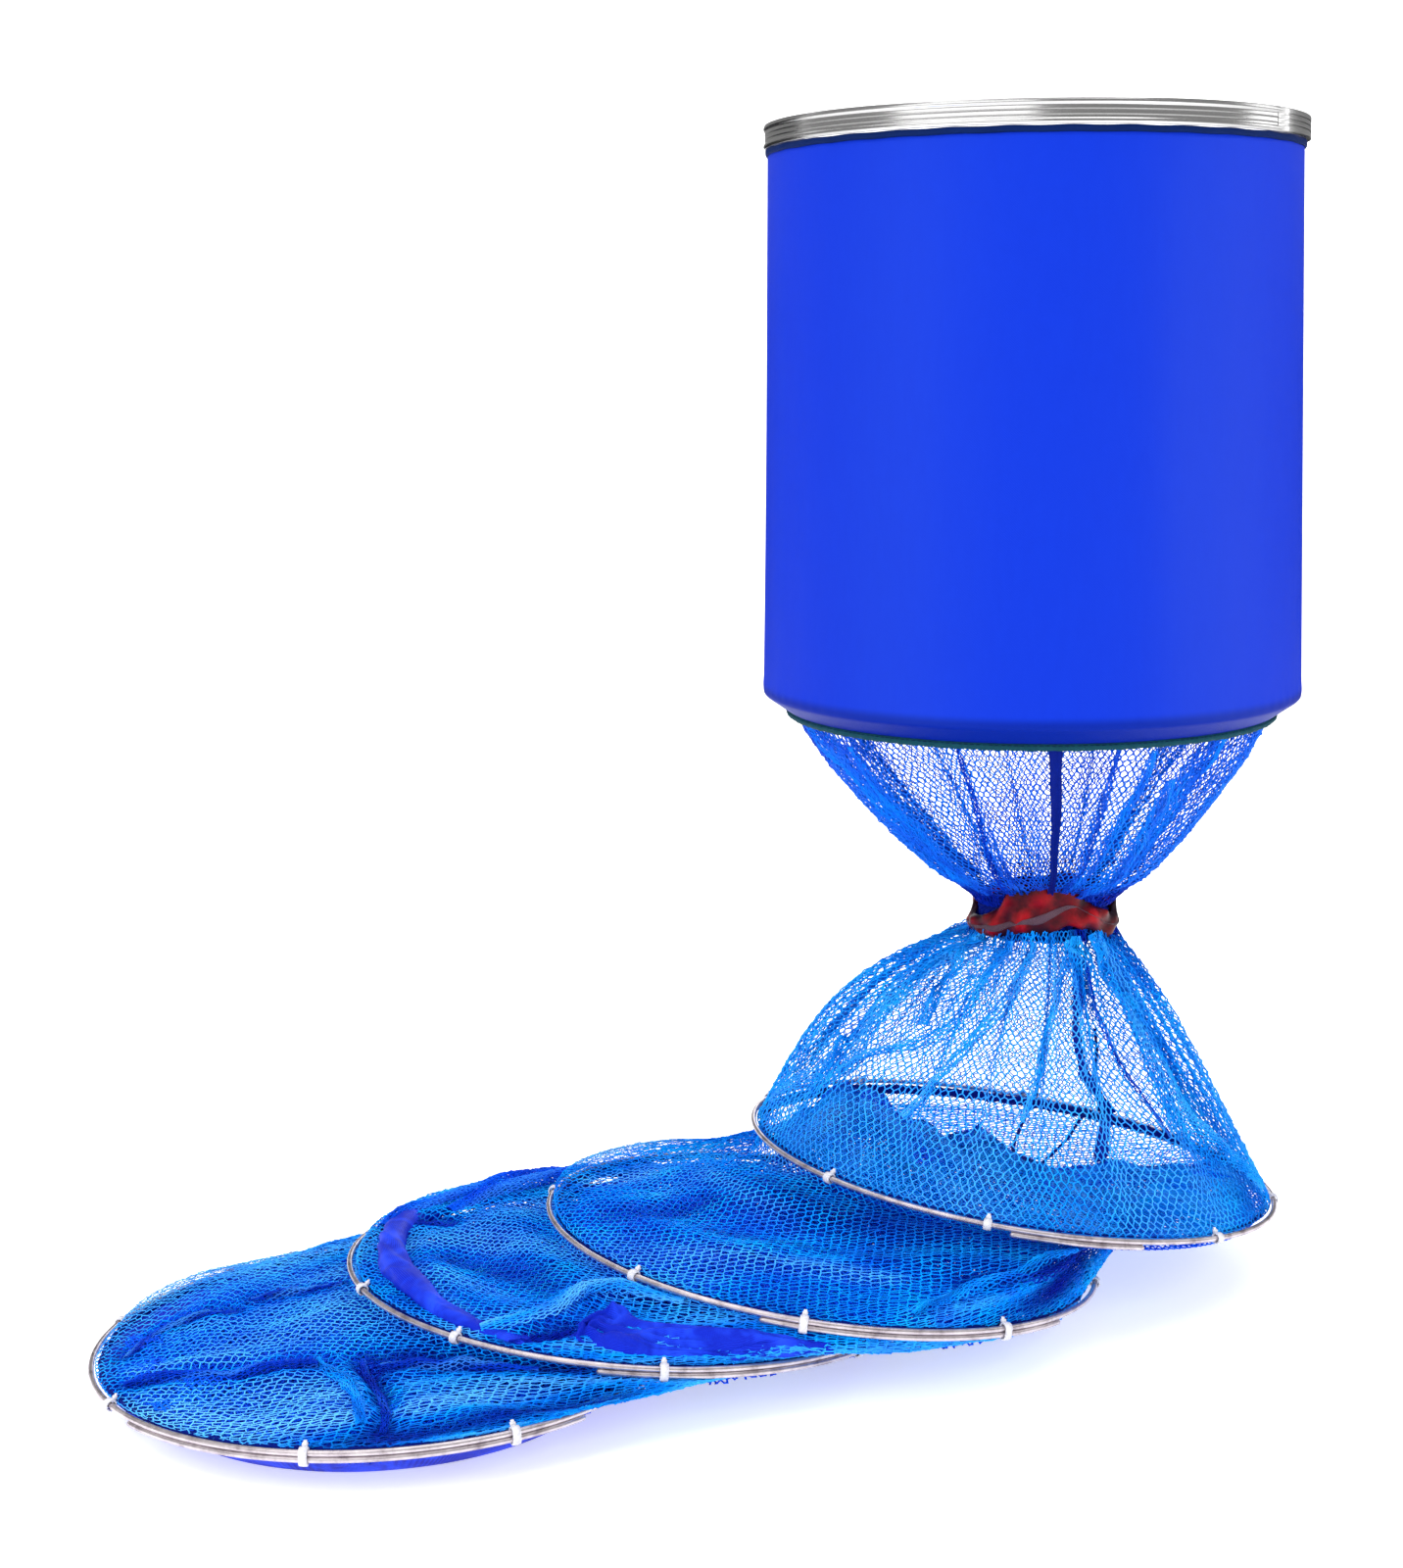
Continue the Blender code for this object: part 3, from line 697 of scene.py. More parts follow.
a = np.radians(np.linspace(-40.0, -8.0, 60))
out = np.stack([np.cos(a), np.sin(a), np.zeros_like(a)], -1)
face = [(0.1967, -0.0006), (0.1983, -0.0006), (0.1987, -0.0010)]
for z in (-0.0049, -0.0085, -0.0121):
    face += [(0.1987, z + 0.0008), (0.1983, z + 0.0003), (0.1983, z - 0.0003), (0.1987, z - 0.0008)]
face += [(0.1987, -0.0160), (0.1983, -0.0164), (0.1967, -0.0164)]
face = np.array(face)
ends = np.minimum(np.arange(60), 59 - np.arange(60))
thin = smooth(ends, -1.0, 7.0)[:, None]
radius = 0.1967 + (face[None, :, 0] - 0.1967) * thin
ring = out[:, None] * radius[..., None] + np.array((0, 0, 1.0)) * face[None, :, 1:]
m = len(face)
caps = [[i * m + 0, i * m + j, i * m + j + 1, i * m + m - 1] for i in (0, 59) for j in range(1, m - 2)]
quads = np.concatenate([grid_quads(60, m, False, True)[:, ::-1], np.array(caps)])
splice = place("rim_splice_plate", mesh_from("rim_splice_plate", ring, quads,
                                             smooth_faces=False), M_STEEL, "rim_body")
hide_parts("rim_splice")


def soft_edge(angle, r, z):
    return r + 0.00025 * np.sin(7 * angle + 1.0) * np.sin(23 * angle), z + 0.0002 * np.sin(31 * angle)


band = [(0.1957, -0.0174), (0.1961, -0.0180), (0.1962, -0.0195), (0.1961, -0.0208),
        (0.1955, -0.0216), (0.1945, -0.0220), (0.1938, -0.0214), (0.1938, -0.0180), (0.1941, -0.0175)]
binding = turned("bucket_binding", band, M_NAVY, "rim_body", steps=384, wobble=soft_edge)
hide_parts("top_binding")

SLEEVE = np.array(((-0.0205, 0.1939), (CLOTH_TOP_Z, CLOTH_TOP_R - 0.0004), (-0.4150, 0.19952),
                   (-0.4171, 0.19932), (-0.4184, 0.1982), (SHOULDER_Z - 0.0002, SHOULDER_R - 0.0004)))
run_at = np.concatenate([[0.0], np.cumsum(np.hypot(*np.diff(SLEEVE, axis=0).T))])
run_at /= run_at[-1]
rows_at = np.concatenate([np.linspace(0, 0.935, 92), np.linspace(0.935, 1.0, 27)[1:]])
cols, rows = 420, len(rows_at)
U, V = np.meshgrid(np.arange(cols) / cols, rows_at, indexing="xy")
ang = U * TAU
z = np.interp(V, run_at, SLEEVE[:, 0])
rad = np.interp(V, run_at, SLEEVE[:, 1])
slack = np.sin(math.pi * np.clip(V / 0.95, 0, 1)) ** 0.7
rad = rad + slack * (0.0007 * waves(11, ang, V, (2, 9), (0.0, 0.5), 9)
                     + 0.00035 * waves(12, ang, V, (12, 30), (0.0, 0.4), 9))
rad = rad + 0.00025 * np.exp(-((V - 0.937) / 0.010) ** 2) * (1 + 0.4 * np.sin(90 * ang))
pts = np.stack([rad * np.cos(ang), rad * np.sin(ang), z], -1)
uv = np.stack([np.abs((ang * 0.197) - 0.6189), -0.417 * V], -1)
cloth = shell("bucket_sleeve", pts[:, ::-1], 0.0008, M_BUCKET, uv=uv[:, ::-1])
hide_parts("bucket_cloth")
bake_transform(cloth)

# lapped side seam down the back of the bucket, with its two rows of stitches
seam_a = math.radians(96.0)
zz = np.linspace(CLOTH_TOP_Z - 0.001, CLOTH_LOW_Z + 0.001, 90)
f = (zz - CLOTH_TOP_Z) / (CLOTH_LOW_Z - CLOTH_TOP_Z)
rr = CLOTH_TOP_R + (CLOTH_LOW_R - CLOTH_TOP_R) * f + 0.0009
lap = []
for off in np.linspace(-0.009, 0.009, 9):
    t = seam_a + off / 0.197
    swell = 0.0005 * (1 - (off / 0.009) ** 4)
    lap.append(np.stack([(rr + swell) * np.cos(t), (rr + swell) * np.sin(t), zz], -1))
lap = np.array(lap)
luv = np.stack(np.broadcast_arrays(np.linspace(0, 0.018, 9)[:, None], zz[None]), -1)
side_seam = shell("bucket_side_seam", lap, 0.0007, M_BUCKET, wrap_cols=False, uv=luv)
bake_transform(side_seam)


def stitches(name, start, stop, normal, mat, thick=0.00028):
    """A row of short stitches, each a low arched thread between two points."""
    parts, quads = [], []
    for p, q, n in zip(start, stop, normal):
        path = np.array([p + (q - p) * s + n * (0.00025 * math.sin(math.pi * s) + 0.00008)
                         for s in np.linspace(0, 1, 5)])
        d = unit(q - p)
        side = np.cross(d, n)
        sec = [(math.cos(k * TAU / 4), math.sin(k * TAU / 4)) for k in range(4)]
        parts.append(np.array([[c + side * (x * thick) + n * (y * thick) for x, y in sec]
                               for c in path]))
    verts = np.array(parts)
    base = grid_quads(5, 4, False, True)
    quads = np.concatenate([base + 20 * i for i in range(len(parts))])
    return place(name, mesh_from(name, verts, quads), mat)


for k, off in enumerate((-0.0062, 0.0062)):
    t = seam_a + off / 0.197
    zs = np.arange(CLOTH_TOP_Z - 0.004, CLOTH_LOW_Z + 0.006, -0.0040)
    f = (zs - CLOTH_TOP_Z) / (CLOTH_LOW_Z - CLOTH_TOP_Z)
    rs = CLOTH_TOP_R + (CLOTH_LOW_R - CLOTH_TOP_R) * f + 0.0015
    p = np.stack([rs * math.cos(t), rs * math.sin(t), zs], -1)
    q = p + np.array((0, 0, -0.0029))
    n = np.tile(np.array((math.cos(t), math.sin(t), 0.0)), (len(p), 1))
    row = stitches("seam_stitches_%d" % (k + 1), p, q, n, M_NAVY)
    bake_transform(row)

# hem: spring wire inside the cloth, wound piping below it
t = np.linspace(0, TAU, 385)[:-1]
wire_path = np.stack([HEM_WIRE_R * np.cos(t), HEM_WIRE_R * np.sin(t),
                      np.full_like(t, HEM_WIRE_Z)], -1)
hem_wire = tube("hem_spring", wire_path, WIRE, M_WIRE, "hem_body", sides=12, closed=True)
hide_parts("hem_hoop")


def piping_shape(angle, r, z):
    puff = 1.0 + 0.07 * np.sin(110 * angle) + 0.05 * np.sin(37 * angle + 1.0)
    return PIPE_R + (r - PIPE_R) * puff, HEM_Z + (z - HEM_Z) * puff


PIPE_R = HEM_R - 0.0006
piping = [(PIPE_R + 0.0024 * math.cos(k * TAU / 14), HEM_Z + 0.0027 * math.sin(k * TAU / 14))
          for k in range(14)][::-1]
piping = turned("hem_piping", piping, M_TEAL, "hem_body", steps=720, wobble=piping_shape)
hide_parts("hem_binding")
ts = np.arange(0, 360, 1.35)
p = np.stack([(PIPE_R + 0.0021) * np.cos(np.radians(ts)), (PIPE_R + 0.0021) * np.sin(np.radians(ts)),
              np.full_like(ts, HEM_Z + 0.0012)], -1)
q = np.stack([(PIPE_R + 0.0021) * np.cos(np.radians(ts + 0.8)),
              (PIPE_R + 0.0021) * np.sin(np.radians(ts + 0.8)), np.full_like(ts, HEM_Z + 0.0012)], -1)
n = unit(p * np.array((1, 1, 0)))
hem_stitch = stitches("hem_stitches", p, q, n, M_NAVY, 0.00022)
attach(hem_stitch, "hem_body")


# -------------------------------------------------------- netting, gathering
def gather(u, folds, amount):
    """Angles drawn together towards the fold lines; amount is 0 for even netting."""
    folds = sorted(folds)
    at = np.radians([f[0] for f in folds])
    strong = np.array([f[1] for f in folds])
    n = len(at)
    ext = np.concatenate([[at[-1] - TAU], at, [at[0] + TAU]])
    mids = (ext[1:] + ext[:-1]) / 2
    u = np.asarray(u, float)
    w = np.mod(u - mids[0], TAU) + mids[0]
    k = np.clip(np.searchsorted(mids, w, side="right") - 1, 0, n - 1)
    x = w - at[k]
    half = np.where(x >= 0, mids[k + 1] - at[k], at[k] - mids[k])
    s = np.clip(np.abs(x) / half, 0, 1)
    p = 1.0 + amount * strong[k] * 1.6
    s2 = 0.86 * s ** p + 0.14 * s
    near = np.exp(-(s / 0.45) ** 2) * strong[k]
    return at[k] + np.sign(x) * s2 * half, near


# ---- upper netting, from the hem down to the tied waist
lengths = np.concatenate([[0.0], np.cumsum(np.hypot(np.diff(FUNNEL[:, 0]), np.diff(FUNNEL[:, 1])))])
lengths /= lengths[-1]
fine = np.linspace(0, 1, 60)
FUNNEL_FINE = np.stack([np.interp(fine, lengths, FUNNEL[:, i]) for i in range(3)], -1)
for _ in range(6):
    FUNNEL_FINE[1:-1] = (FUNNEL_FINE[:-2] + 2 * FUNNEL_FINE[1:-1] + FUNNEL_FINE[2:]) / 4
UPPER_FOLDS = ((14, 0.5), (38, 0.8), (63, 0.5), (92, 0.35), (117, 0.6), (142, 0.9), (164, 0.5),
               (209, 0.9), (247, 0.45), (262, 0.25), (281, 0.45), (306, 0.9), (340, 0.5))


# painted light and shade: the upper netting's twine is lighter in broad bands round its sides and darker
# where it gathers towards the waist
def upper_tone(U, V):
    u = U * TAU
    side = bell(u, 209.0, 26.0) + bell(u, 304.0, 26.0) + 0.6 * bell(u, 60.0, 40.0)
    t = 0.85 * side * smooth(V, 0.05, 0.4) + 0.35 * waves(24, u, V, (3, 12), (0.2, 1.0))
    return np.clip(t, -0.7, 1.0) * (1 - smooth(V, 0.78, 0.94)) - 0.95 * smooth(V, 0.78, 0.94)



def upper_surface(U, V, out=0.0):
    u = U * TAU
    t = smooth(V, 0.0, 1.0) * 0.35 + V * 0.65
    ang, near = gather(u, UPPER_FOLDS, 1.25 * V ** 0.8)
    ang = ang + 0.02 * V * waves(21, u, V, (3, 9), (0, 0.6))
    z = np.interp(V, fine, FUNNEL_FINE[:, 0])
    r = np.interp(V, fine, FUNNEL_FINE[:, 1])
    share = np.interp(V, fine, FUNNEL_FINE[:, 2])
    pleat = np.sin(46 * u + 2.2 * waves(22, u, V * 0.3, (1, 5), (0, 0.3)))
    tight = 1.0 - 0.75 * smooth(V, 0.90, 1.0)
    r = r + pleat * (0.0002 + 0.0045 * V ** 2.4) * (0.35 + 0.65 * near) * tight
    r = r - near * 0.008 * np.sin(math.pi * np.clip(V, 0, 1)) ** 1.2
    r = r + 0.0022 * np.sin(math.pi * V) * waves(23, u, V, (4, 12), (0.0, 0.5)) + out
    r = r - 0.0150 * bell(ang, 262.0, 32.0) * smooth(V, 0.66, 0.86)
    return np.stack([WAIST[0] * share + r * np.cos(ang), WAIST[1] * share + r * np.sin(ang), z], -1)


upper = netting("net_upper", upper_surface, 196, 42, M_UPPER, seed=3, tone=upper_tone)
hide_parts("upper_net")
hand_over(upper)


def seam_strip(name, surface, u0, v0, v1, width, mat, wander=0.0, lift=0.0012, steps=70, seed=5,
               thick=0.0006, narrow=0.5, run=None):
    """A narrow ribbon sewn along the netting, laid on its surface."""
    v = np.linspace(v0, v1, steps)
    s = (v - v0) / (v1 - v0)
    uc = u0 / 360.0 + wander * np.sin(TAU * 1.7 * s + seed) * s * (1 - s)
    mid = surface(uc, v)
    near = surface(uc + 0.003, v)
    side = unit(near - mid)
    along = unit(np.gradient(mid, axis=0))
    n = unit(np.cross(side, along))
    rng = np.random.default_rng(seed)
    w = width * (1.0 - (1.0 - narrow) * s) * (1 + 0.16 * rng.normal(0, 1, steps).cumsum() * 0.2)
    w = np.clip(w, width * narrow * 0.7, width * 1.25)
    cols = []
    for x in np.linspace(-0.5, 0.5, 5):
        roll = 0.0006 * math.cos(x * math.pi * 2)
        cols.append(mid + side * (w * x)[:, None] + n * (lift + roll))
    grid = np.stack(cols, 0)
    uvs = np.stack(np.broadcast_arrays(np.linspace(0, width, 5)[:, None],
                                       np.linspace(0, 0.2, steps)[None]), -1)
    obj = shell(name, grid, thick, mat, wrap_cols=False, uv=uvs)
    RUNS[obj.name] = np.tile(np.tile(v, 5), 2)
    return obj


upper_seam = seam_strip("net_upper_seam", upper_surface, 268.2, 0.02, 0.900, 0.0090, M_SEAM,
                        wander=0.002, lift=-0.0016, seed=4, narrow=0.50)
hand_over(upper_seam)


def rib(name, surface, line, height, base, mat, seed, cells=7, thick=0.00050, tone=None,
        sink=0.0008, shift=0.0, out=None):
    """A fold of netting standing along a line of (degree, v) places on a surface; out turns
    its standing direction from up to away from an axis (x, y)."""
    line = np.array(line, float)
    step = np.hypot(np.diff(line[:, 0]) * 0.0035, np.diff(line[:, 1]) * 0.22)
    at = np.concatenate([[0.0], np.cumsum(step)])
    at /= at[-1]
    s = np.linspace(0, 1, 241)
    deg_, v_ = np.interp(s, at, line[:, 0]), np.interp(s, at, line[:, 1])
    for _ in range(60):
        deg_[1:-1] = (deg_[:-2] + 2 * deg_[1:-1] + deg_[2:]) / 4
        v_[1:-1] = (v_[:-2] + 2 * v_[1:-1] + v_[2:]) / 4
    mid = surface(deg_ / 360.0, v_)
    for _ in range(12):
        mid[1:-1] = (mid[:-2] + 2 * mid[1:-1] + mid[2:]) / 4
    along = unit(np.gradient(mid, axis=0))
    if out is None:
        stand = np.tile(np.array((0.0, 0.0, 1.0)), (len(s), 1))
    else:
        stand = unit((mid - np.array((*out, 0.0))) * np.array((1.0, 1.0, 0.0)))
    side = unit(np.cross(along, stand))
    stand = np.cross(side, along)
    rng = np.random.default_rng(seed)
    phase = rng.uniform(0, TAU, 6)
    taper = np.sin(math.pi * (0.06 + 0.88 * s)) ** 0.45
    wob = (1 + 0.16 * np.sin(9 * s + phase[0]) + 0.10 * np.sin(23 * s + phase[1]))
    drift_ = 0.25 * np.sin(7 * s + phase[2]) + 0.18 * np.sin(17 * s + phase[3])

    def at_s(values, V):
        return np.stack([np.interp(V, s, values[:, i]) for i in range(3)], -1)

    def folded(U, V):
        x = 2.0 * U - 1.0
        k_ = np.interp(V, s, taper * wob)
        lean = np.interp(V, s, drift_)
        h = height * k_ * (1 - np.abs(x) ** 2.2) - sink
        w_ = base * k_ * (np.abs(x) ** 0.75 * np.sign(x) + lean * (1 - x * x)) + shift
        return at_s(mid, V) + at_s(side, V) * w_[..., None] + at_s(stand, V) * h[..., None]

    length = float(np.linalg.norm(np.diff(mid, axis=0), axis=1).sum())
    obj = netting(name, folded, cells, max(int(length / 0.0042), 6), mat, seed=seed, wrap=False,
                  thick=thick, loose=0.0003, tone=tone)
    RUNS[obj.name] = np.interp(RUNS[obj.name], s, v_)
    return obj


UPPER_RIBS = (
    ("a", ((194, 0.02), (200, 0.18), (201, 0.42), (206, 0.66), (216, 0.95)), 0.0020, 0.013, 12),
    ("b", ((214, 0.10), (217, 0.30), (220, 0.52), (221, 0.93)), 0.0020, 0.008, 9),
    ("c", ((314, 0.02), (307, 0.19), (308, 0.36), (309, 0.52), (308, 0.84), (303, 0.95)), 0.0020, 0.014, 12),
    ("d", ((298, 0.20), (298, 0.45), (297, 0.70), (292, 0.95)), 0.0020, 0.009, 9),
    ("e", ((283, 0.04), (282, 0.23), (281, 0.53), (276, 0.80), (275, 0.92)), 0.0015, 0.0030, 4),
    ("f", ((292, 0.06), (290, 0.32), (287, 0.60), (284, 0.81), (282, 0.92)), 0.0015, 0.0045, 5),
    ("g", ((246, 0.03), (245, 0.26), (241, 0.56), (236, 0.79), (234, 0.93)), 0.0015, 0.0022, 3),
    ("h", ((150, 0.05), (146, 0.40), (142, 0.93)), 0.0020, 0.009, 9),
    ("i", ((30, 0.05), (34, 0.40), (38, 0.93)), 0.0020, 0.009, 9),
)
# painted light and shade: most of these folds are lighter along their length and darker towards the waist,
# fold e is darker, and fold g is made of the shaded fold twine
for letter, line, height, base, cells in UPPER_RIBS:
    if letter in "g":
        mat, shade = M_FOLD_SHADE, None
    elif letter in "e":
        mat, shade = M_UPPER, lambda U, V: -0.3 + 0 * U
    else:
        mat, shade = M_UPPER, (lambda U, V: 0.75 - 1.2 * smooth(V, 0.75, 1.0)
                               + 0.5 * np.sin(13 * V + 5 * U))
    obj = rib("net_upper_fold_" + letter, upper_surface, line, height, base, mat,
              seed=300 + ord(letter), cells=cells, tone=shade, out=(0.0, 0.0))
    hand_over(obj)

# ---- tied waist: gathered neck, satin strap, stripe
NU, NV = 480, 26
U, V = np.meshgrid(np.arange(NU) / NU * TAU, np.linspace(0, 1, NV), indexing="xy")
zz = 0.0060 - 0.0210 * V
pleat = np.abs(np.sin(21 * U + 1.3 * waves(31, U, V, (1, 5), (0, 0.4))))
swell = 1.0 - 0.9 * np.exp(-((V - 0.0) / 0.05) ** 2) - 0.9 * np.exp(-((V - 1.0) / 0.05) ** 2)
rr = 0.0400 + swell * 0.0050 + 0.0046 * pleat ** 0.6
neck = WAIST + np.stack([rr * np.cos(U), rr * np.sin(U), zz + 0.0012 * np.sin(9 * U)], -1)
top = WAIST + np.stack([0.004 * np.cos(U[0]), 0.004 * np.sin(U[0]), np.full(NU, -0.0040)], -1)
low = WAIST + np.stack([0.004 * np.cos(U[0]), 0.004 * np.sin(U[0]), np.full(NU, -0.0110)], -1)
neck = np.concatenate([top[None], neck, low[None]], 0)
neck_uv = np.stack(np.broadcast_arrays((U[0] * 0.05)[None], np.linspace(0, 0.08, NV + 2)[:, None]), -1)
# the gathered neck of the netting is drawn as a sleeve of the dark seam cloth; its dark navy stands in for
# the shade inside the tight gathers
neck_obj = place("neck_bunch", mesh_from("neck_bunch", neck, grid_quads(NV + 2, NU, False, True)[:, ::-1],
                                         uv=neck_uv.reshape(-1, 2)), M_SEAM, "waist_body")
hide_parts("neck_gather")

# height of the strap's middle and its half width, round from the back over the front
KEYS = np.array((
    (0.0, 0.002, 0.0120), (60.0, 0.004, 0.0135), (120.0, 0.001, 0.0130), (165.0, -0.004, 0.0115),
    (186.0, -0.0085, 0.0080), (205.0, -0.0070, 0.0085), (224.0, -0.0010, 0.0105),
    (238.0, 0.0110, 0.0190), (262.0, 0.0135, 0.0205), (284.0, 0.0145, 0.0165),
    (300.0, 0.0060, 0.0105), (318.0, -0.0020, 0.0100), (338.0, -0.0065, 0.0085),
    (350.0, -0.0030, 0.0105), (360.0, 0.002, 0.0120),
))
cols, rows = 400, 30
U, V = np.meshgrid(np.arange(cols) / cols * TAU, np.linspace(-1, 1, rows), indexing="xy")
deg = np.degrees(U)
kx = np.concatenate([KEYS[:-1, 0] - 360, KEYS[:-1, 0], KEYS[:, 0] + 360])
mid = np.interp(deg, kx, np.concatenate([KEYS[:-1, 1], KEYS[:-1, 1], KEYS[:, 1]]))
half = np.interp(deg, kx, np.concatenate([KEYS[:-1, 2], KEYS[:-1, 2], KEYS[:, 2]]))
for arr in (mid, half):
    for _ in range(30):
        arr[:] = (np.roll(arr, 1, 1) + 2 * arr + np.roll(arr, -1, 1)) / 4
crush = waves(41, U, V * 0.35, (9, 30), (0.3, 1.6), 14, fade=0.3)
crush2 = waves(42, U, V * 0.35, (4, 12), (0.2, 1.0), 10, fade=0.3)
edge = 1.0 - 0.10 * np.abs(waves(43, U, V * 0.0, (6, 22), (0, 0), 8))
zz = mid - V * half * edge + 0.0012 * crush2
slant = np.sin(10 * U + 2.4 * V + 1.7 * waves(44, U, V * 0.3, (1, 5), (0, 0.4)))
slant2 = np.sin(17 * U - 1.5 * V + 1.5 * waves(45, U, V * 0.3, (1, 5), (0, 0.4)))
hollow = 0.0004 * crush + 0.0009 * crush2 + 0.0012 * slant + 0.0007 * slant2
rr = 0.0542 + hollow + 0.0016 * (1 - V ** 2) - 0.0018 * np.abs(V) ** 6
rr = rr + 0.0050 * np.clip((zz - 0.014) / 0.020, 0, 1.2)
strap_pts = WAIST + np.stack([rr * np.cos(U), rr * np.sin(U), zz], -1)
strap_uv = np.stack([U * 0.055, -V * 0.013], -1)
strap = shell("tie_ribbon", strap_pts[:, ::-1], 0.0007, M_SATIN, "waist_body", uv=strap_uv[:, ::-1])
# painted shade and highlight on the satin: lighter on the raised crumples, darker in the hollows, at the two
# sides where the strap turns away, and along its edges
shade = np.clip((hollow - 0.0002) / 0.0028, -0.7, 0.65)
shade = shade - 0.9 * bell(U, 190.0, 12.0) - 0.9 * bell(U, 345.0, 16.0)
shade = np.clip(shade - 0.95 * np.abs(V) ** 4, -1.0, 0.8)[:, ::-1]
set_tone(strap, np.concatenate([shade, shade[::-1]], 0).reshape(-1))
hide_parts("tie_strap")


def strap_point(deg_, v):
    """A point just off the strap's face, v from -1 at its top edge to 1 at its low edge."""
    c = (np.asarray(deg_) / 360.0 * cols) % cols
    r = np.clip((np.asarray(v) + 1) / 2 * (rows - 1), 0, rows - 1.001)
    c0, r0 = c.astype(int) % cols, r.astype(int)
    c1, r1 = (c0 + 1) % cols, r0 + 1
    fc, fr = (c - np.floor(c))[..., None], (r - r0)[..., None]
    p = ((strap_pts[r0, c0] * (1 - fc) + strap_pts[r0, c1] * fc) * (1 - fr)
         + (strap_pts[r1, c0] * (1 - fc) + strap_pts[r1, c1] * fc) * fr)
    n = unit((p - WAIST) * np.array((1, 1, 0)))
    return p + n * 0.0007


dd = np.linspace(0, 360, 361)[:-1]
STRIPE = np.array(((0, 0.05, 0.15), (90, 0.0, 0.16), (170, 0.15, 0.15), (188, 0.10, 0.08),
                   (200, 0.10, 0.17), (212, 0.20, 0.20), (226, 0.36, 0.19), (236, 0.52, 0.12),
                   (242, 0.60, 0.02), (247, 0.50, 0.10), (258, 0.36, 0.17), (270, 0.18, 0.17),
                   (281, 0.00, 0.12), (288, -0.12, 0.02), (325, 0.0, 0.02), (333, 0.0, 0.10),
                   (345, 0.05, 0.12), (360, 0.05, 0.15)))
middle = np.interp(dd, STRIPE[:, 0], STRIPE[:, 1])
breadth = np.interp(dd, STRIPE[:, 0], STRIPE[:, 2])
top_v, low_v = middle - breadth, middle + breadth
sv = np.linspace(0, 1, 7)[:, None]
stripe_pts = strap_point(np.broadcast_to(dd[None], (7, 360)), top_v[None] + (low_v - top_v)[None] * sv)
stripe_uv = np.stack(np.broadcast_arrays((np.radians(dd) * 0.055)[None], sv * 0.008), -1)
stripe = shell("tie_ribbon_stripe", stripe_pts[:, ::-1], 0.00035, M_STRIPE, "waist_body",
               uv=stripe_uv[:, ::-1])
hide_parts("tie_stripe")

# ---- lower netting, flaring from the neck to the first hoop
FLARE_TOP = WAIST + np.array((0, 0, -0.0190))
FLARE_FOLDS = ((30, 0.4), (62, 0.6), (98, 0.4), (124, 0.7), (150, 0.8),
               (200, 0.9), (236, 0.5), (252, 0.5), (268, 0.45), (289, 0.6),
               (313, 0.9))


# painted light and shade: the flare's twine is lighter in bands round its left and front, and darker at the
# neck under the strap and down at the hoop
def flare_tone(U, V):
    u = U * TAU
    t = (0.35 * waves(54, u, V, (3, 12), (0.2, 1.2)) + 0.45 * bell(u, 250.0, 30.0)
         + 0.25 * bell(u, 290.0, 30.0) + 0.25 * bell(u, 210.0, 20.0))
    low = smooth(V, 0.975, 1.0)
    return np.clip(t, -0.6, 0.8) * (1 - low) - 0.5 * low - 0.8 * (1 - smooth(V, 0.03, 0.09))



def flare_surface(U, V, out=0.0):
    u = U * TAU
    ang, near = gather(u, FLARE_FOLDS, 1.25 * (1 - V) ** 0.9)
    ang = ang + 0.05 * np.sin(math.pi * V) * waves(51, u, V, (2, 7), (0, 0.5))
    s = np.clip((V - 0.07) / 0.895, 0, 1)
    neck_ = 1.0 - np.clip(V / 0.07, 0, 1)
    pleat = np.sin(44 * u + 2.0 * waves(52, u, V * 0.3, (1, 5), (0, 0.3)))
    r0 = 0.0550 - 0.0035 * neck_ + pleat * 0.0036 * (1 - 0.7 * neck_)
    start = FLARE_TOP + np.stack([r0 * np.cos(ang), r0 * np.sin(ang), np.zeros_like(ang)], -1)
    stop = on_hoop(0, NET_RING_R, 0.0060, ang)
    fall = s ** (1.27 - 0.27 * np.cos(ang))
    p = start + (stop - start) * np.stack([s, s, fall], -1)
    p[..., 2] += 0.0150 * neck_
    hump = np.sin(math.pi * s)
    outw = np.stack([np.cos(ang), np.sin(ang), np.zeros_like(ang)], -1)
    push = (0.0060 * waves(53, u, V, (3, 9), (0.0, 0.6)) - 0.012 * near * (1 - V) ** 0.5
            + pleat * 0.0030 * (1 - s) ** 2 + 0.0155 * bell(ang, 184.0, 46.0)
            + 0.0075 * bell(ang, 352.0, 40.0)) * hump + out
    p = p + outw * push[..., None]
    last = smooth(V, 0.965, 1.0)[..., None]
    ring_ = on_hoop(0, NET_RING_R + 0.0028 * (bell(ang, 180.0, 32.0) + bell(ang, 0.0, 32.0)), 0.0005, ang)
    return p * (1 - last) + ring_ * last


flare = netting("net_flare", flare_surface, 190, 54, M_FLARE, seed=7, thick=0.00056,
                tone=flare_tone)
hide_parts("lower_net")
hand_over(flare)

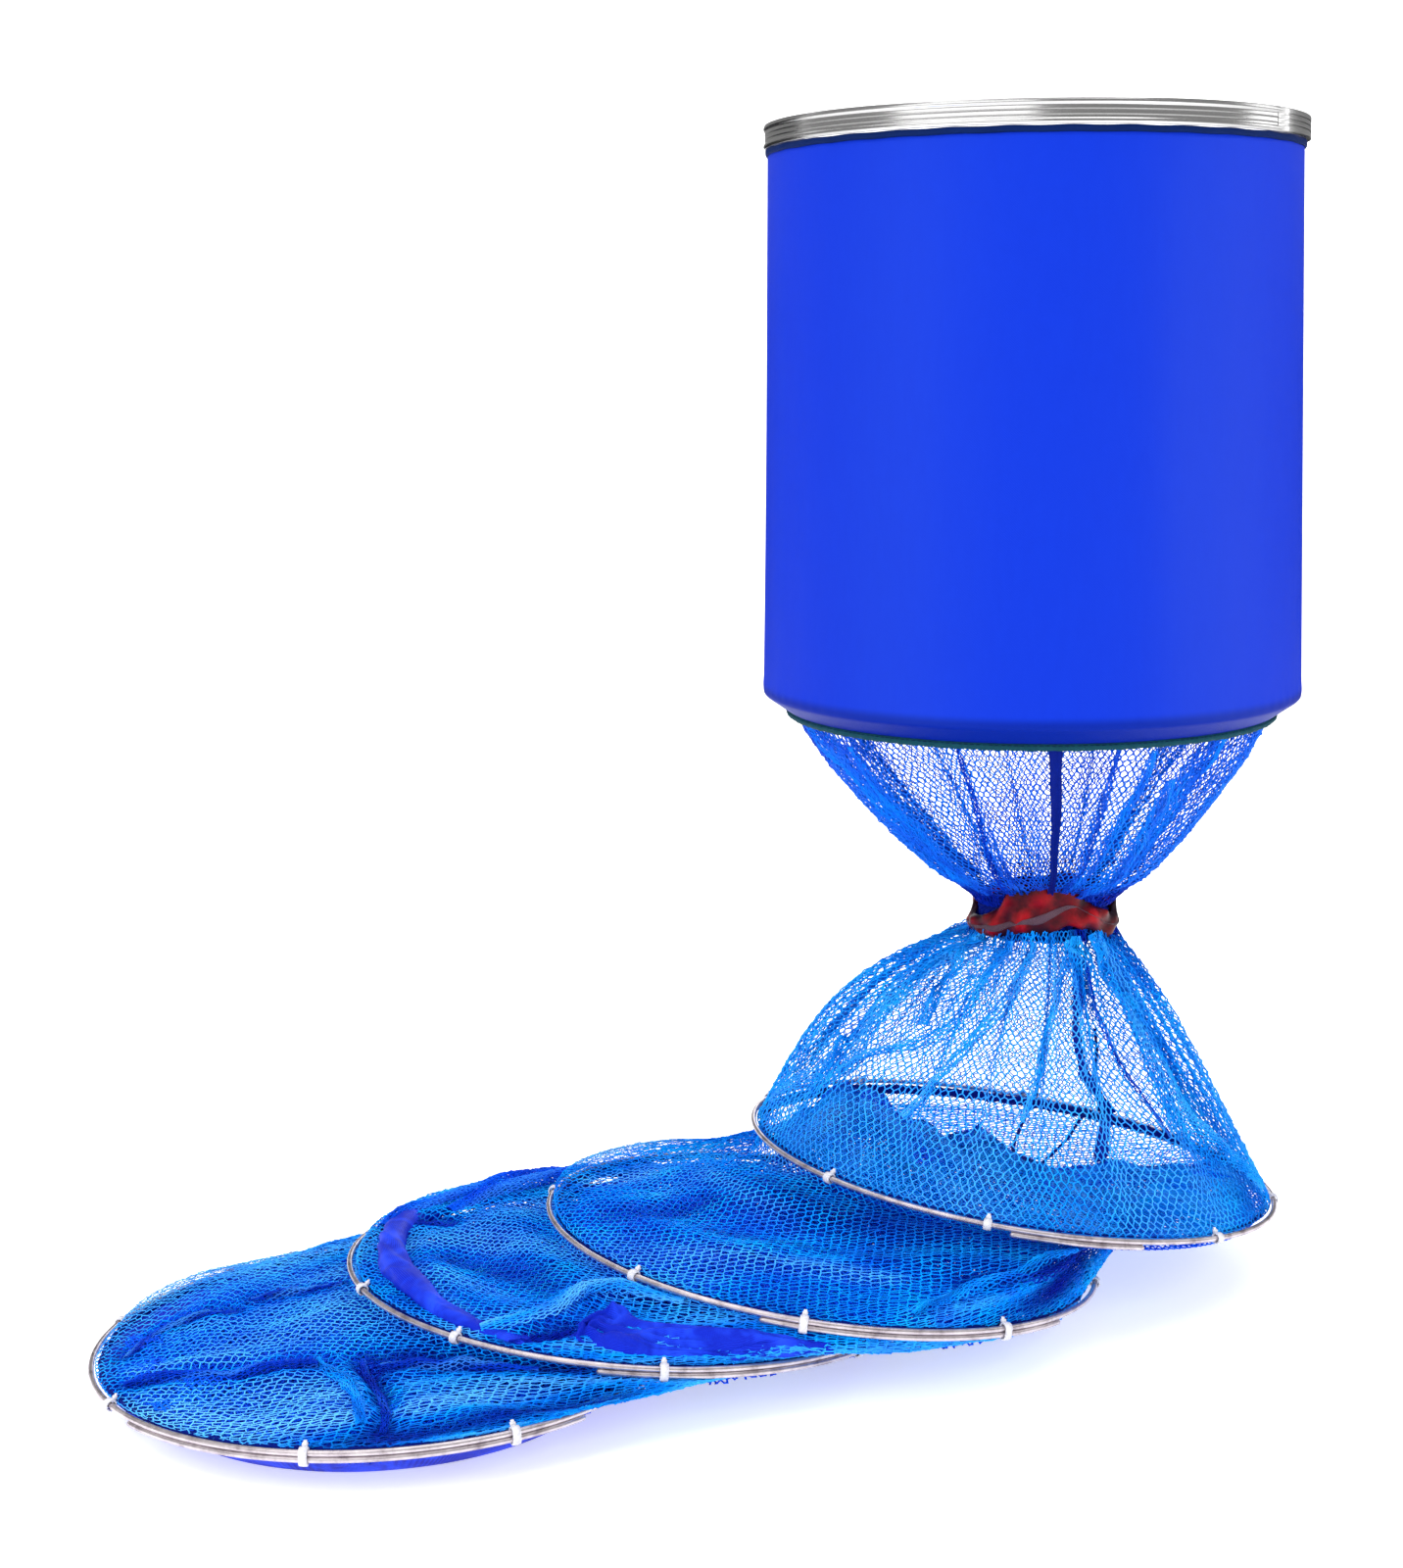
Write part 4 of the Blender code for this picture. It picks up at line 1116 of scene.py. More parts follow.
# painted light and shade: the last number of each fold is how much its twine is painted lighter (to 1) or
# darker (to -1); fold h is made of the shaded fold twine
FLARE_RIBS = (
    ("a", ((188, 0.03), (194, 0.12), (205, 0.28), (205, 0.50), (208, 0.64), (195, 0.78),
           (181, 0.92)), 0.0025, 0.014, 12, M_FLARE, 0.15),
    ("b", ((206, 0.03), (214, 0.16), (221, 0.32), (223, 0.48)), 0.0025, 0.009, 8, M_FLARE, -0.1),
    ("c", ((238, 0.04), (239, 0.21), (234, 0.48), (216, 0.61), (207, 0.72)), 0.0020, 0.0040, 5,
     M_FLARE, 0.2),
    ("d", ((257, 0.04), (255, 0.20), (246, 0.43), (240, 0.60), (231, 0.77)), 0.0020, 0.0040, 5,
     M_FLARE, 0.45),
    ("e", ((280, 0.03), (277, 0.17), (270, 0.38), (264, 0.60), (262, 0.70)), 0.0020, 0.0030, 4,
     M_FLARE, 0.3),
    ("f", ((289, 0.02), (288, 0.06), (290, 0.15), (292, 0.26)), 0.0025, 0.0110, 10, M_FLARE, 0.0),
    ("g", ((304, 0.02), (307, 0.09), (315, 0.29), (314, 0.42), (314, 0.61), (323, 0.73),
           (338, 0.84), (345, 0.93)), 0.0025, 0.0125, 12, M_FLARE, 0.2),
    ("h", ((296, 0.10), (296, 0.30), (298, 0.43), (303, 0.59), (306, 0.70)), 0.0015, 0.0018, 3,
     M_FOLD_SHADE, 0.0),
    ("j", ((140, 0.03), (146, 0.30), (150, 0.60), (146, 0.90)), 0.0020, 0.0080, 8, M_FLARE, 0.0),
    ("k", ((34, 0.03), (32, 0.30), (28, 0.60), (30, 0.90)), 0.0020, 0.0080, 8, M_FLARE, 0.0),
)
for letter, line, height, base, cells, mat, level in FLARE_RIBS:
    obj = rib("net_flare_fold_" + letter, flare_surface, line, height, base, mat,
              seed=330 + ord(letter), cells=cells, out=(0.0, 0.0),
              tone=lambda U, V, level=level: np.clip(level + 0.35 * np.sin(11 * V + 6 * U),
                                                     -0.8, 0.8))
    hand_over(obj)


def course(name, surface, line, width, mat, lift, seed, steps=90, thick=0.0006, narrow=1.0):
    """A narrow strip sewn to netting along a line of (degree, v) places."""
    line = np.array(line, float)
    at = np.linspace(0, 1, len(line))
    s = np.linspace(0, 1, steps)
    deg_, v_ = np.interp(s, at, line[:, 0]), np.interp(s, at, line[:, 1])
    for _ in range(10):
        deg_[1:-1] = (deg_[:-2] + 2 * deg_[1:-1] + deg_[2:]) / 4
        v_[1:-1] = (v_[:-2] + 2 * v_[1:-1] + v_[2:]) / 4
    mid = surface(deg_ / 360.0, v_)
    side = unit(surface(deg_ / 360.0 + 0.003, v_) - mid)
    along = unit(np.gradient(mid, axis=0))
    side = unit(side - along * (side * along).sum(1)[:, None])
    n = unit(np.cross(side, along))
    rng = np.random.default_rng(seed)
    w = width * (1 - (1 - narrow) * s) * (1 + 0.14 * np.sin(31 * s + rng.uniform(0, 6))
                                          + 0.10 * np.sin(67 * s + rng.uniform(0, 6)))
    cols_ = [mid + side * (w * x)[:, None] + n * (lift + 0.0005 * math.cos(x * math.pi * 2))
             for x in np.linspace(-0.5, 0.5, 5)]
    uvs = np.stack(np.broadcast_arrays(np.linspace(0, width, 5)[:, None],
                                       np.linspace(0, 0.2, steps)[None]), -1)
    obj = shell(name, np.stack(cols_, 0), thick, mat, wrap_cols=False, uv=uvs)
    RUNS[obj.name] = np.tile(np.tile(v_, 5), 2)
    return obj


back_seam = course("net_flare_seam", flare_surface,
                   ((64, 0.02), (60, 0.20), (59.5, 0.32), (60.5, 0.47), (64, 0.66), (62, 0.82),
                    (59, 0.90), (57, 0.985)), 0.0098, M_ROYAL, 0.0018, 6, narrow=1.12)
hand_over(back_seam)
for letter, line in (("a", ((73, 0.50), (75, 0.64), (76, 0.85), (76.5, 0.985))),
                     ("b", ((55, 0.60), (56, 0.70), (59, 0.84), (60, 0.985)))):
    obj = course("net_flare_edge_" + letter, flare_surface, line, 0.0026, M_SEAM, 0.0014, 7)
    hand_over(obj)

# ---- the four free hoops with their laps, selvedge cords and clips
for k in range(4):
    body = "hoop_%d_body" % (k + 1)
    a = np.linspace(0, TAU, 361)[:-1]
    ring_obj = tube("hoop_%d_wire" % (k + 1), on_hoop(k, HOOP_R, 0.0, a), WIRE, M_WIRE, body,
                    sides=12, closed=True, up=hoop_axes(k)[3])
    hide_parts("hoop_%d" % (k + 1))
    a = np.radians(np.linspace(LAPS[k][0], LAPS[k][1], 90))
    lap_obj = tube("hoop_%d_lap_wire" % (k + 1), on_hoop(k, HOOP_R, -2.0 * WIRE, a), WIRE * 0.985, M_WIRE,
                   body, sides=12, up=hoop_axes(k)[3])
    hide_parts("hoop_%d_lap" % (k + 1))
    a = np.linspace(0, TAU, 721)[:-1]
    rope = on_hoop(k, NET_RING_R - (0.0014, 0.0006, 0.0006, 0.0006)[k] + 0.0004 * np.sin(40 * a),
                   0.0002 + 0.0003 * np.sin(64 * a), a)
    stout = (0.0018, 0.0016, 0.0016, 0.0018)[k] + (0.0020 if k == 0 else 0.0004) * (
        smooth(np.sin(a), -0.1, 0.35))
    if k == 0:
        stout = stout * (1.0 - 0.60 * bell(a, 306.0, 20.0))
        rope = rope - hoop_axes(k)[3] * (0.0052 * smooth(np.sin(a), 0.0, 0.6)
                                         * (0.35 + 0.65 * smooth(-np.cos(a), -0.9, 0.5)))[:, None]
    # the netting rolled round each hoop is drawn as a cord of the dark seam cloth; its dark navy also stands
    # in for the shade where the netting rolls round the wire
    cord = tube("hoop_%d_selvedge" % (k + 1), rope, stout * (1 + 0.10 * np.sin(180 * a)), M_SEAM,
                body, sides=8, closed=True, up=hoop_axes(k)[3])


def clip_shape(name, drop):
    """Moulded clip: an oval band round the wire with a locking head and a short tail."""
    half = 0.0029
    count = 28
    path = []
    for j in range(count):
        t = j * TAU / count
        x, y = 0.0033 * math.cos(t), 0.0033 * math.sin(t)
        if math.sin(t) < -1e-6:
            y -= drop * 0.92
        path.append((x, y))
    section = [(-half, -0.0005), (-half + 0.0004, 0.0006), (0.0, 0.0008), (half - 0.0004, 0.0006),
               (half, -0.0005), (0.0, -0.0006)]
    verts = []
    for j, (x, y) in enumerate(path):
        t = j * TAU / count
        for along, proud in section:
            grow = proud
            verts.append((x + grow * math.cos(t), along, y + grow * math.sin(t)))
    m_ = len(section)
    quads = [list(q) for q in grid_quads(count, m_, True, True)]
    mesh = mesh_from(name, np.array(verts), np.array(quads))

    def block(centre, size, lean):
        nonlocal verts, quads
        base = len(verts)
        rows_ = []
        for level, scale in ((-0.5, 0.80), (-0.42, 0.97), (0.30, 1.0), (0.44, 0.9), (0.5, 0.66)):
            ring_ = []
            for i in range(12):
                t = (i + 0.5) * TAU / 12
                c, s = math.cos(t), math.sin(t)
                sx_ = math.copysign(abs(c) ** 0.45, c) * size[0] / 2 * scale
                sy_ = math.copysign(abs(s) ** 0.45, s) * size[1] / 2 * scale
                ring_.append((centre[0] + sx_ + lean * level, centre[1] + sy_,
                              centre[2] + size[2] * level))
            rows_.append(ring_)
        for r_ in rows_:
            verts += r_
        verts += [tuple(np.mean(rows_[0], 0))] * 12 + [tuple(np.mean(rows_[-1], 0))] * 12
        g = grid_quads(5, 12, False, True) + base
        c1, c2 = base + 60, base + 72
        i = np.arange(12)
        j = (i + 1) % 12
        g = np.concatenate([g, np.stack([c1 + i, c1 + j, base + j, base + i], -1),
                            np.stack([base + 48 + i, base + 48 + j, c2 + j, c2 + i], -1)])
        quads += [list(q) for q in g]

    block((-0.0032, 0.0, 0.0040), (0.0026, 0.0038, 0.0024), -0.0008)
    block((-0.0040, 0.0, 0.0055), (0.0012, 0.0024, 0.0018), -0.0008)
    bpy.data.meshes.remove(mesh)
    return mesh_from(name, np.array(verts), np.array(quads))


SHORT_CLIP, LONG_CLIP = clip_shape("clip_short", 0.0), clip_shape("clip_long", LAP_DROP)
for k in range(4):
    c, ax, ay, an = hoop_axes(k)
    frame_m = Matrix((
        (ax[0], ay[0], an[0], c[0]), (ax[1], ay[1], an[1], c[1]), (ax[2], ay[2], an[2], c[2]),
        (0, 0, 0, 1)))
    for j, angle in enumerate(CLIP_ANGLES[k]):
        doubled = LAPS[k][0] - 3.0 < angle < LAPS[k][1] + 3.0
        name = "clip_%d%s" % (k + 1, "abcdefgh"[j])
        obj = bpy.data.objects.new(name + "_tie", LONG_CLIP if doubled else SHORT_CLIP)
        SCENE.collection.objects.link(obj)
        if not obj.data.materials:
            obj.data.materials.append(M_CLIP)
        obj.matrix_world = (frame_m @ Matrix.Rotation(math.radians(angle), 4, "Z")
                            @ Matrix.Translation((HOOP_R, 0, 0)))
        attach(obj, "hoop_%d_body" % (k + 1))
        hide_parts(name)

# ---- netting between the hoops
# by angle round the hoops: how high the netting stands over the lower hoop, how far it
# hangs below the upper one, how far out it hangs and how far out it stands, in millimetres
COVER = (
    ((0, 2, 4, -80, 0), (25, 4, 5, -40, 0), (40, 6, 8, -15, 0), (80, 4, 12, 0, 1), (105, 7, 16, 0, 2),
     (128, 9, 26, -2, 3), (150, 11, 30, -3, 5), (172, 10, 28, 0, 3), (205, 3, 10, 0, 1),
     (240, 2, 8, 0, 0), (270, 2, 7, -2, 0), (285, 2, 4, -10, 0), (300, 2, -1, -45, 0),
     (318, 2, -1, -80, 0), (340, 2, 1, -90, 0)),
    ((0, 2, 6, -10, 0), (40, 8, 8, -4, 0), (80, 12, 10, 0, 1), (110, 15, 8, 0, 3),
     (130, 14, 8, 0, 3), (145, 11, 9, 0, 3), (160, 9, 10, 0, 2), (176, 4, 10, 0, 1), (205, 3, 8, 0, 1),
     (240, 2, 7, 0, 0), (262, 2, 5, 1, 0), (285, 2, 7, 2, 0), (305, 2, 9, 2, 0),
     (325, 2, 9, 1, 0), (342, 2, 8, -4, 0)),
    ((0, 2, 6, -8, 0), (40, 7, 8, 0, 0), (75, 9, 8, 0, 1), (98, 7, 8, 0, 1),
     (115, 3, 9, 0, 2), (135, 4, 10, 0, 3), (150, 9, 12, 0, 4), (162, 9, 13, 0, 3),
     (176, 3, 13, 0, 0), (192, 0, 12, 0, 0), (205, 1, 8, 0, 0), (240, 2, 9, 0, 0),
     (265, 2, 5, 1, 0), (285, 2, 5, 2, 0), (305, 2, 5, 2, 0), (325, 2, 5, 1, 0)),
)


def keyed(table, angle, column):
    table = np.array(table, float)
    kx_ = np.concatenate([table[:, 0] - 360, table[:, 0], table[:, 0] + 360])
    ky = np.tile(table[:, column], 3)
    d = np.degrees(angle) % 360.0
    total = 0.0
    for off, w in ((-10, 0.15), (-5, 0.22), (0, 0.26), (5, 0.22), (10, 0.15)):
        total = total + w * np.interp(d + off, kx_, ky)
    return total * 0.001


# folds across each cover: ((degree, v), (degree, v), ...), height in millimetres (valleys
# are negative), half width in millimetres
FOLDS = (
    ((((280, 0.86), (278, 0.56), (286, 0.24)), 6.0, 7.0),
     (((275, 0.50), (284, 0.42), (294, 0.36)), -8.0, 9.0),
     (((229, 0.79), (245, 0.68), (262, 0.61)), 3.5, 14.0),
     (((204, 0.80), (207, 0.60), (207, 0.40)), -3.5, 14.0)),
    ((((237, 0.88), (238, 0.61), (230, 0.36), (229, 0.17), (241, 0.10)), 6.5, 9.0),
     (((246, 0.92), (245, 0.66)), -8.0, 10.0),
     (((170, 0.74), (175, 0.55)), -5.0, 9.0),
     (((198, 0.55), (213, 0.33)), -4.0, 14.0)),
    ((((209, 0.90), (213, 0.73), (220, 0.59), (226, 0.42)), -6.0, 8.0),
     (((204, 0.86), (207, 0.73), (212, 0.58)), 3.5, 8.0),
     (((229, 0.32), (236, 0.37), (246, 0.47), (259, 0.66), (267, 0.80)), -6.0, 7.0),
     (((226, 0.36), (240, 0.46), (252, 0.60), (262, 0.80)), 4.5, 7.0),
     (((236, 0.33), (236, 0.20), (251, 0.13), (263, 0.03)), -6.0, 9.0),
     (((192, 0.88), (182, 0.76), (183, 0.62), (187, 0.49)), -4.5, 7.0)),
)
# painted light and shade: where the twine of each cover is painted lighter on ridges and darker
# in fold valleys and shaded pockets: a line, how much, half width in millimetres
TONES = (
    ((((241, 0.16), (260, 0.14), (278, 0.14)), -0.75, 30.0),
     (((255, 0.34), (268, 0.34), (276, 0.30)), -0.45, 22.0),
     (((229, 0.79), (245, 0.68), (262, 0.61)), 0.45, 16.0),
     (((204, 0.80), (207, 0.60), (207, 0.40)), -0.55, 13.0),
     (((192, 0.35), (221, 0.28)), 0.25, 14.0),
     (((210, 0.22), (230, 0.18)), -0.55, 12.0),
     (((222, 0.56), (240, 0.46), (256, 0.44)), -0.45, 9.0),
     (((280, 0.86), (278, 0.56), (286, 0.24)), 0.10, 8.0),
     (((275, 0.48), (284, 0.42), (296, 0.38)), -1.0, 11.0),
     (((178, 0.80), (178, 0.60)), 0.55, 14.0),
     (((105, 0.90), (130, 0.86), (155, 0.90)), 0.90, 30.0),
     (((292, 0.18), (306, 0.45), (314, 0.80)), -1.0, 42.0)),
    ((((160, 0.66), (154, 0.40), (148, 0.20)), -0.60, 22.0),
     (((170, 0.74), (175, 0.55)), -0.95, 9.0),
     (((186, 0.72), (190, 0.45)), 0.45, 18.0),
     (((198, 0.55), (213, 0.33), (231, 0.43)), -0.60, 20.0),
     (((237, 0.88), (238, 0.61), (230, 0.36), (229, 0.17), (241, 0.10)), 0.45, 10.0),
     (((246, 0.93), (245, 0.66)), -1.0, 15.0),
     (((214, 0.78), (226, 0.82)), 0.25, 14.0)),
    ((((209, 0.90), (213, 0.73), (220, 0.59), (226, 0.42)), -1.0, 10.0),
     (((204, 0.86), (207, 0.73), (212, 0.58)), 0.55, 9.0),
     (((192, 0.88), (182, 0.76), (183, 0.62), (187, 0.49)), -0.95, 9.0),
     (((182, 0.45), (184, 0.30), (190, 0.12)), -0.85, 9.0),
     (((228, 0.91), (244, 0.86), (254, 0.77)), 1.0, 26.0),
     (((272, 0.88), (278, 0.62), (284, 0.40)), -1.0, 34.0),
     (((110, 0.92), (135, 0.88), (160, 0.92)), 1.0, 26.0),
     (((232, 0.66), (240, 0.62)), 0.70, 24.0),
     (((229, 0.30), (236, 0.37), (246, 0.47), (259, 0.66), (267, 0.82)), -1.0, 8.0),
     (((260, 0.60), (262, 0.40)), 0.65, 18.0),
     (((234, 0.34), (234, 0.22), (240, 0.17), (251, 0.14), (262, 0.08)), -1.0, 16.0),
     (((208, 0.60), (212, 0.30)), 0.40, 18.0)),
)


def from_line(u, v, line):
    """How far points of a cover lie from a fold line, in metres, and how far along it."""
    deg = np.degrees(u) % 360.0
    best = np.full(np.shape(deg), 1e9)
    along = np.zeros(np.shape(deg))
    count = len(line) - 1
    for i in range(count):
        (d0, v0), (d1, v1) = line[i], line[i + 1]
        x = ((deg - d0 + 180.0) % 360.0 - 180.0) * (0.2 * TAU / 360.0)
        y = (v - v0) * 0.22
        ex = ((d1 - d0 + 180.0) % 360.0 - 180.0) * (0.2 * TAU / 360.0)
        ey = (v1 - v0) * 0.22
        f = np.clip((x * ex + y * ey) / max(ex * ex + ey * ey, 1e-12), 0, 1)
        dist = np.hypot(x - f * ex, y - f * ey)
        closer = dist < best
        best = np.where(closer, dist, best)
        along = np.where(closer, (i + f) / count, along)
    return best, along


def cover_tone(k):
    def tone(U, V):
        u = U * TAU
        # painted light and shade: from each cover's own starting lightness, the TONES lines paint the twine
        # lighter and darker
        t = (0.0, 0.12, 0.26)[k] + 0.22 * waves(65 + k, u, V, (3, 14), (0.4, 2.0), 12)
        for line, much, wide in TONES[k]:
            d, _ = from_line(u, V, line)
            w = np.exp(-(d / (wide * 0.001)) ** 2)
            t = t * (1 - 0.8 * w) + much * w
        return np.clip(t, -1.0, 1.0)
    return tone


def cover_slim(k):
    """Over the back of the first and last covers the netting is pulled out, and its twine thin."""
    centre, width = ((128.0, 42.0), (140.0, 1.0), (140.0, 44.0))[k]
    much = (0.55, 0.0, 0.52)[k]

    def slim(U, V):
        return 1.0 - much * bell(U * TAU, centre, width) * smooth(V, 0.45, 0.85)
    return slim


def cover_surface(k):
    (c1, _), (c2, _) = HOOPS[k], HOOPS[k + 1]
    lean = math.atan2(c2[1] - c1[1], c2[0] - c1[0])

    def path(u, V):
        stand, hang = keyed(COVER[k], u, 1), keyed(COVER[k], u, 2)
        outward, bulge = keyed(COVER[k], u, 3), keyed(COVER[k], u, 4)
        v1, v2 = 0.07 + np.clip(hang - 0.014, 0.0, 0.02) / 0.25, 1.0 - (0.02 + stand / 0.22)
        ring_top = on_hoop(k, NET_RING_R, -0.0008, u)
        hung = on_hoop(k, NET_RING_R + outward, -hang, u)
        wall = on_hoop(k + 1, NET_RING_R + 0.001 + bulge, 0.0, u)
        wall[..., 2] += stand
        reach = 0.0032 * bell(u, 185.0, 38.0) if k == 2 else 0.0
        ring_low = on_hoop(k + 1, NET_RING_R + reach, 0.0008, u)
        a_ = np.clip(V / v1, 0, 1)[..., None]
        b_ = np.clip((V - v1) / (v2 - v1), 0, 1)
        c_ = np.clip((V - v2) / (1 - v2), 0, 1)[..., None]
        p = ring_top + (hung - ring_top) * a_
        p = p + (wall - hung) * b_[..., None]
        p = p + (ring_low - wall) * c_
        return p, b_

    def surface(U, V, out=0.0):
        u = U * TAU
        p, b0 = path(u, V)
        p2, b1 = path(u, np.clip(V - 0.025, 0, 1))
        p3, b2 = path(u, np.clip(V + 0.025, 0, 1))
        ends = (np.clip(V / 0.03, 0, 1) * np.clip((1 - V) / 0.03, 0, 1))[..., None]
        p = p * (1 - ends * 0.6) + (p2 + p3) * ends * 0.3
        side = 0.5 + 0.5 * np.cos(u - lean)
        hump = np.sin(math.pi * np.clip(V, 0, 1)) ** 0.8
        fold = (0.0045 * creases(waves(60 + k, u, V, (1, 5), (0.5, 1.6), 8))
                + 0.0022 * waves(70 + k, u, V, (4, 14), (0.4, 2.0), 12)
                + 0.0009 * waves(80 + k, u, V, (12, 30), (0.4, 2.5), 12))
        for line, height, wide in FOLDS[k]:
            d, s_ = from_line(u, V, line)
            ends_ = np.sin(math.pi * (0.12 + 0.76 * s_)) ** 0.5
            fold = fold + height * 0.001 * ends_ * np.exp(-(d / (wide * 0.001)) ** 2)
        p[..., 2] += fold * hump * (0.35 + 0.65 * side) + out
        outw = np.stack([np.cos(u), np.sin(u), np.zeros_like(u)], -1)
        p += outw * (0.0025 * waves(90 + k, u, V, (3, 12), (0.3, 1.2)) * hump)[..., None]
        p[..., 2] = np.maximum(p[..., 2], FLOOR_Z + 0.0008)
        return p

    return surface


for k, (cells, rows_, mat) in enumerate(((184, 46, M_NET), (184, 44, M_NET), (184, 46, M_NET))):
    surface = cover_surface(k)
    name = "net_%s" % "abc"[k]
    obj = netting(name + "_cover", surface, cells, rows_, mat, seed=20 + k, tone=cover_tone(k),
                  slim=cover_slim(k))
    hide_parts(name)
    hand_over(obj)

# painted light and shade: the last number of each ridge is how much its twine is painted lighter (to 1) or
# darker (to -1); several are made of the shaded twines
COVER_RIBS = (
    (0, "a", ((281, 0.88), (279, 0.56), (286, 0.24)), 0.0050, 0.0050, 7, M_NET, -0.25),
    (0, "b", ((275, 0.50), (284, 0.42), (294, 0.37)), 0.0050, 0.0050, 7, M_FOLD_SHADE, -0.5),
    (1, "a", ((238, 0.90), (239, 0.62), (231, 0.36), (230, 0.17), (241, 0.10)), 0.0055, 0.0065, 9,
     M_NET, 0.35),
    (1, "b", ((246, 0.93), (245, 0.66)), 0.0040, 0.0070, 7, M_FOLD_SHADE, -1.0),
    (1, "c", ((118, 0.60), (140, 0.62), (158, 0.72), (172, 0.88)), 0.0080, 0.0090, 12, M_SHADED_TWINE, 0.0),
    (1, "d", ((112, 0.35), (134, 0.38), (154, 0.42), (168, 0.60)), 0.0080, 0.0100, 12, M_SHADED_TWINE, 0.1),
    (1, "e", ((172, 0.78), (174, 0.62), (176, 0.52)), 0.0030, 0.0045, 5, M_FOLD_SHADE, -0.4),
    (2, "a", ((208, 0.92), (213, 0.73), (220, 0.59), (226, 0.42)), 0.0085, 0.0045, 9, M_FOLD_SHADE, 0.0),
    (2, "b", ((229, 0.30), (236, 0.37), (246, 0.47), (259, 0.66), (266, 0.80)), 0.0045, 0.0035, 6,
     M_FOLD_SHADE, -0.2),
    (2, "c", ((224, 0.40), (238, 0.47), (250, 0.60), (261, 0.78)), 0.0034, 0.0045, 7, M_NET, -0.2),
    (2, "d", ((234, 0.30), (236, 0.22), (244, 0.16), (256, 0.10)), 0.0065, 0.0055, 8, M_FOLD_SHADE, 0.1),
    (2, "e", ((193, 0.88), (183, 0.78), (182, 0.66), (187, 0.49)), 0.0045, 0.0035, 6, M_FOLD_SHADE, 0.2),
    (2, "f", ((182, 0.45), (184, 0.30), (190, 0.12)), 0.0045, 0.0035, 6, M_FOLD_SHADE, 0.2),
)
for k, letter, line, height, base, cells, mat, level in COVER_RIBS:
    obj = rib("net_%s_ridge_%s" % ("abc"[k], letter), cover_surface(k), line, height, base, mat,
              seed=360 + 9 * k + ord(letter), cells=cells, thick=0.00052,
              tone=lambda U, V, level=level: np.clip(level + 0.3 * np.sin(9 * V + 5 * U), -1, 1))
    hand_over(obj)


def trim(name, path, width, mat, body, seed, thick=0.0007):
    """A narrow strip along a path of points, lying flat across it."""
    path = np.array(path, float)
    s_ = np.linspace(0, 1, 80)
    at = np.linspace(0, 1, len(path))
    mid_ = np.stack([np.interp(s_, at, path[:, i]) for i in range(3)], -1)
    for _ in range(30):
        mid_[1:-1] = (mid_[:-2] + 2 * mid_[1:-1] + mid_[2:]) / 4
    along = unit(np.gradient(mid_, axis=0))
    side = unit(np.cross(along, np.array((0.0, 0.25, 1.0))))
    n_ = np.cross(side, along)
    phase = seed * 1.7
    w_ = width * (1 + 0.12 * np.sin(23 * s_ + phase) + 0.08 * np.sin(51 * s_ + phase))
    cols_ = [mid_ + side * (w_ * x)[:, None] + n_ * (0.0008 * math.cos(x * math.pi * 2))
             for x in np.linspace(-0.5, 0.5, 5)]
    uvs = np.stack(np.broadcast_arrays(np.linspace(0, width, 5)[:, None],
                                       np.linspace(0, 0.1, 80)[None]), -1)
    obj = shell(name, np.stack(cols_, 0), thick, mat, body, wrap_cols=False, uv=uvs)
    return obj


trim("net_a_seam", ((0.0900, 0.1590, -0.8000), (0.0850, 0.1380, -0.8010), (0.0770, 0.1050, -0.8050),
                    (0.0702, 0.0750, -0.8125)), 0.0105, M_ROYAL, "hoop_1_body", 8)
trim("net_a_edge_a", ((0.0312, 0.1830, -0.7950), (0.0170, 0.1450, -0.8010), (0.0020, 0.1020, -0.8100),
                      (0.0080, 0.0850, -0.8140), (0.0151, 0.0700, -0.8165)), 0.0026, M_SEAM,
     "hoop_1_body", 9)
trim("net_a_edge_b", ((0.0751, 0.1670, -0.7990), (0.0620, 0.1420, -0.8020), (0.0486, 0.1150, -0.8080),
                      (0.0300, 0.0900, -0.8140), (0.0175, 0.0700, -0.8165)), 0.0026, M_SEAM,
     "hoop_1_body", 10)

# ---- spare netting lying in folds inside each lower hoop, in close layers
for k in range(1, 4):
    for layer in range(3):
        c, ax, ay, an = hoop_axes(k)
        seed = 100 + 10 * k + layer

        def pile(U, V):
            x = c[0] + (U - 0.5) * 0.40
            y = c[1] + (V - 0.5) * 0.40
            f1 = waves(seed, x * 9.0, y * 9.0, (1, 5), (0.2, 0.9), 12, fade=0.4)
            f2 = waves(seed + 1, x * 26.0, y * 26.0, (1, 4), (0.2, 0.9), 12, fade=0.4)
            z_ = plane_z(k, x, y) + 0.003 + 0.004 * creases(f1) + 0.002 * f2 - 0.005 * layer
            roof = plane_z(k - 1, x, y) - 0.012
            inside = (x - HOOPS[k - 1][0][0]) ** 2 + (y - HOOPS[k - 1][0][1]) ** 2 < 0.205 ** 2
            z_ = np.where(inside, np.minimum(z_, roof + 0.002 * f2), z_)
            edge_ = np.clip((0.19 - np.hypot(x - c[0], y - c[1])) / 0.03, 0, 1)
            z_ = z_ - (1 - edge_) * 0.004
            return np.stack([x, y, np.maximum(z_, FLOOR_Z + 0.002 + 0.001 * layer)], -1)

        def inside_hoop(p, c=c):
            x, y = p[:, 0] - c[0], p[:, 1] - c[1]
            back = bell(np.arctan2(y, x), 130.0, 50.0)
            return np.hypot(x, y) < 0.188 - 0.022 * back

        # painted shade: these under layers are all made of the darker shaded twine
        obj = netting("net_%s_fold_%d" % ("abc"[k - 1], layer + 1), pile, 88, 96,
                      M_SHADED_TWINE, "hoop_%d_body" % (k + 1), seed=seed, wrap=False,
                      keep=inside_hoop, thick=0.00068)
        RUNS.pop(obj.name)
        del obj["_rows"]

